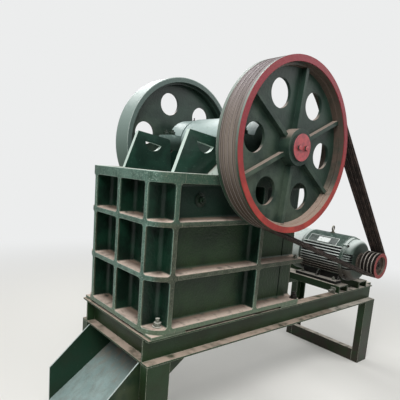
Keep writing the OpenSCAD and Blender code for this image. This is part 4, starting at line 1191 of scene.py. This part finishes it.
# Nameplate pad, nameplate and eye bolt of the motor
# A cast pad with a low rim stands on the motor's shoulder, and the plate of stamped aluminium is
# riveted in it. The eye bolt is a forged ring with a collar, screwed into the top.
PAD_GREEN = "#33423b"
PAD_GREEN_LIGHT = "#4d5f56"
ALUMINIUM = "#d5d8d5"
ALUMINIUM_CLEAN = "#dde1de"
ALUMINIUM_DUSTY = "#aeb4ae"
RING_BROWN = "#4d4a40"
RING_BROWN_DARK = "#3a372f"
RING_RUST = "#57503f"
RING_DUST_AND_HIGHLIGHT = "#a3a08e"
PAD_ANGLE = math.radians(46.5)
PAD_SIZE = (0.072, 0.250, 0.014)
PAD_TOP_R = MOTOR_R + 0.003
PAD_Y = -0.134
PLATE_SIZE = (0.046, 0.104, 0.0015)
PLATE_Y = -0.140
EYE_Y = -0.134
EYE_R = 0.019
EYE_WIRE = 0.0052
EYE_TURN = 100
outward = Vector((-math.cos(PAD_ANGLE), 0, math.sin(PAD_ANGLE)))
along_pad = Vector((-math.sin(PAD_ANGLE), 0, -math.cos(PAD_ANGLE)))
pad_turn = Matrix((along_pad, (0, 1, 0), outward)).transposed().to_4x4()


def wire_ring(bm, radius, wire_r, sides, steps):
    """A closed ring of round wire, flat round the origin."""
    wire = bmesh.ops.create_circle(bm, cap_ends=False, radius=wire_r, segments=sides)["verts"]
    bmesh.ops.translate(bm, verts=wire, vec=(radius, 0, 0))
    turn(bm, wire, 90, "X")
    bmesh.ops.spin(bm, geom=edges_of(bm, wire), cent=(0, 0, 0), axis=(0, 0, 1),
                   angle=math.radians(360), steps=steps, use_merge=True, use_duplicate=False)


# The motor's enamel on the pad: dark in its shallow recess, and painted white as a highlight on
# the rim and sides.
pad_paint, tree, shader, place = new_material("enamel_on_cast_pad", MOTOR_TOP, 0.45)
offset = node(tree, "VectorMath", {0: place, 1: tuple(MOTOR)}, operation="SUBTRACT").outputs[0]
stands = node(tree, "VectorMath", {0: offset, 1: tuple(outward)},
              operation="DOT_PRODUCT").outputs["Value"]
normal = node(tree, "TexCoord").outputs["Normal"]
level = node(tree, "VectorMath", {0: normal, 1: tuple(outward)},
             operation="DOT_PRODUCT").outputs["Value"]
# Painted highlight on the pad's rim and sides.
rim = either(from_to(stands, PAD_TOP_R - 0.0014, PAD_TOP_R - 0.0006), from_to(level, 0.8, 0.4))
coat = layered(
    PAD_GREEN,
    (grains(place, 25, 0.4, 0.7), PAD_GREEN_LIGHT),
    (rim, layered(MOTOR_HIGHLIGHT_PALE, (grains(place, 20, 0.6, 0.8), MOTOR_GREEN))),
)
skin(shader, coat, place, 8, 0.2, 1)
bm = bmesh.new()
block(bm, PAD_SIZE)
bevel(bm, [e for e in bm.edges if abs(e.verts[0].co.z - e.verts[1].co.z) > 0.001], 0.006, 4)
bm.normal_update()
top_face = [f for f in bm.faces if f.normal.z > 0.9]
bmesh.ops.inset_region(bm, faces=top_face, thickness=0.007, depth=0.0)
bmesh.ops.translate(bm, verts=list({v for f in top_face for v in f.verts}), vec=(0, 0, -0.002))
bmesh.ops.transform(bm, verts=bm.verts, matrix=Matrix.Translation(
    MOTOR + outward * (PAD_TOP_R - PAD_SIZE[2] / 2) + Vector((0, PAD_Y, 0))) @ pad_turn)
finish_piece(bm, "nameplate_pad", pad_paint, "root")

# Stamped aluminium, grey-white with handling and dust, and only a little metallic to the eye.
aluminium, tree, shader, place = new_material("stamped_aluminium", ALUMINIUM, 0.45, 0.4)
coat = layered(ALUMINIUM_CLEAN, (grains(place, 12, 0.45, 0.75), ALUMINIUM_DUSTY))
skin(shader, coat, place, 8, 0.05, 0.5)
bm = bmesh.new()
block(bm, PLATE_SIZE)
bevel(bm, bm.edges[:], 0.0004, 1)
for u in (-0.019, 0.019):
    for y in (-0.048, 0.048):
        round_bar(bm, (u, y, 0.0006), UP, 0.003, 0.002, 12)
plate_mid = MOTOR + outward * (PAD_TOP_R - 0.0014) + Vector((0, PLATE_Y, 0))
bmesh.ops.transform(bm, verts=bm.verts, matrix=Matrix.Translation(plate_mid) @ pad_turn)
finish_piece(bm, "blank_nameplate", aluminium, "root")

# Forged steel, never painted: brown with a thin rust below, and pale on top with dust and a
# painted highlight.
forged, tree, shader, place = new_material("forged_steel_ring", RING_BROWN, 0.5, 0.3)
coat = layered(
    RING_BROWN_DARK,
    (grains(place, 5, 0.4, 0.7), RING_RUST),
    (from_to(facing(place, "Z"), -0.1, 0.6), RING_DUST_AND_HIGHLIGHT),
)
tree.links.new(coat, shader.inputs["Base Color"])
bm = bmesh.new()
wire_ring(bm, EYE_R, EYE_WIRE, 12, 28)
turn(bm, bm.verts, 90, "Y")
turn(bm, bm.verts, EYE_TURN, "Z")
bmesh.ops.translate(bm, verts=bm.verts, vec=(0, 0, EYE_R + 0.016))
round_bar(bm, (0, 0, -0.002), UP, 0.018, 0.008)
round_bar(bm, (0, 0, 0.004), UP, 0.010, 0.010)
bmesh.ops.translate(bm, verts=bm.verts, vec=MOTOR + Vector((0, EYE_Y, MOTOR_R)))
finish_piece(bm, "lifting_eye_bolt", forged, "root")


# Terminal box lid and fan grille
# The lid is pressed steel held by four screws, with a plain cable gland under the box. The fan
# cover's end is open, with rings and spokes of steel wire welded across it.
GRILLE_Y = 0.164
GRILLE_WIRE = 0.0022
GRILLE_RINGS = (0.030, 0.048, 0.066, 0.084, 0.102, 0.120)
LID_T = 0.008
LID_BRIM = 0.006
lid_low, lid_high = (Vector(corner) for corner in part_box("terminal_box"))
lid_mid = (lid_low + lid_high) / 2

bm = bmesh.new()
block(bm, (LID_T, lid_high.y - lid_low.y + LID_BRIM, lid_high.z - lid_low.z + LID_BRIM))
bevel(bm, [e for e in bm.edges if abs(e.verts[0].co.x - e.verts[1].co.x) > 0.001], 0.010, 4)
bm.normal_update()
bevel(bm, [e for e in bm.edges if e.verts[0].co.x > 0.003 and e.verts[1].co.x > 0.003], 0.003, 3)
bmesh.ops.translate(bm, verts=bm.verts, vec=(lid_high.x + 0.003, lid_mid.y, lid_mid.z))
finish_piece(bm, "terminal_box_lid", bell_paint, "root")

bm = bmesh.new()
for y in (-0.062, 0.062):
    for z in (-0.042, 0.042):
        screw = (lid_high.x + 0.007, lid_mid.y + y, lid_mid.z + z)
        round_bar(bm, screw, (1, 0, 0), 0.006, 0.004, 16)
gland = Vector((lid_mid.x, lid_mid.y, lid_low.z))
hexagon(bm, gland, (0, 0, -1), 0.030, 0.012)
round_bar(bm, gland + Vector((0, 0, -0.012)), (0, 0, -1), 0.012, 0.014)
finish_piece(bm, "lid_screws_and_gland", blackened, "root")

bm = bmesh.new()
for radius in GRILLE_RINGS:
    wire_ring(bm, radius, GRILLE_WIRE, 8, 48)
for spoke in range(6):
    angle = math.radians(60 * spoke)
    round_bar(bm, (0.028 * math.cos(angle), 0.028 * math.sin(angle), 0),
              (math.cos(angle), math.sin(angle), 0), 0.003, 0.100, 8)
turn(bm, bm.verts, 90, "X")
bmesh.ops.translate(bm, verts=bm.verts, vec=MOTOR + Vector((0, GRILLE_Y, 0)))
finish_piece(bm, "fan_grille", cover_paint, "root")
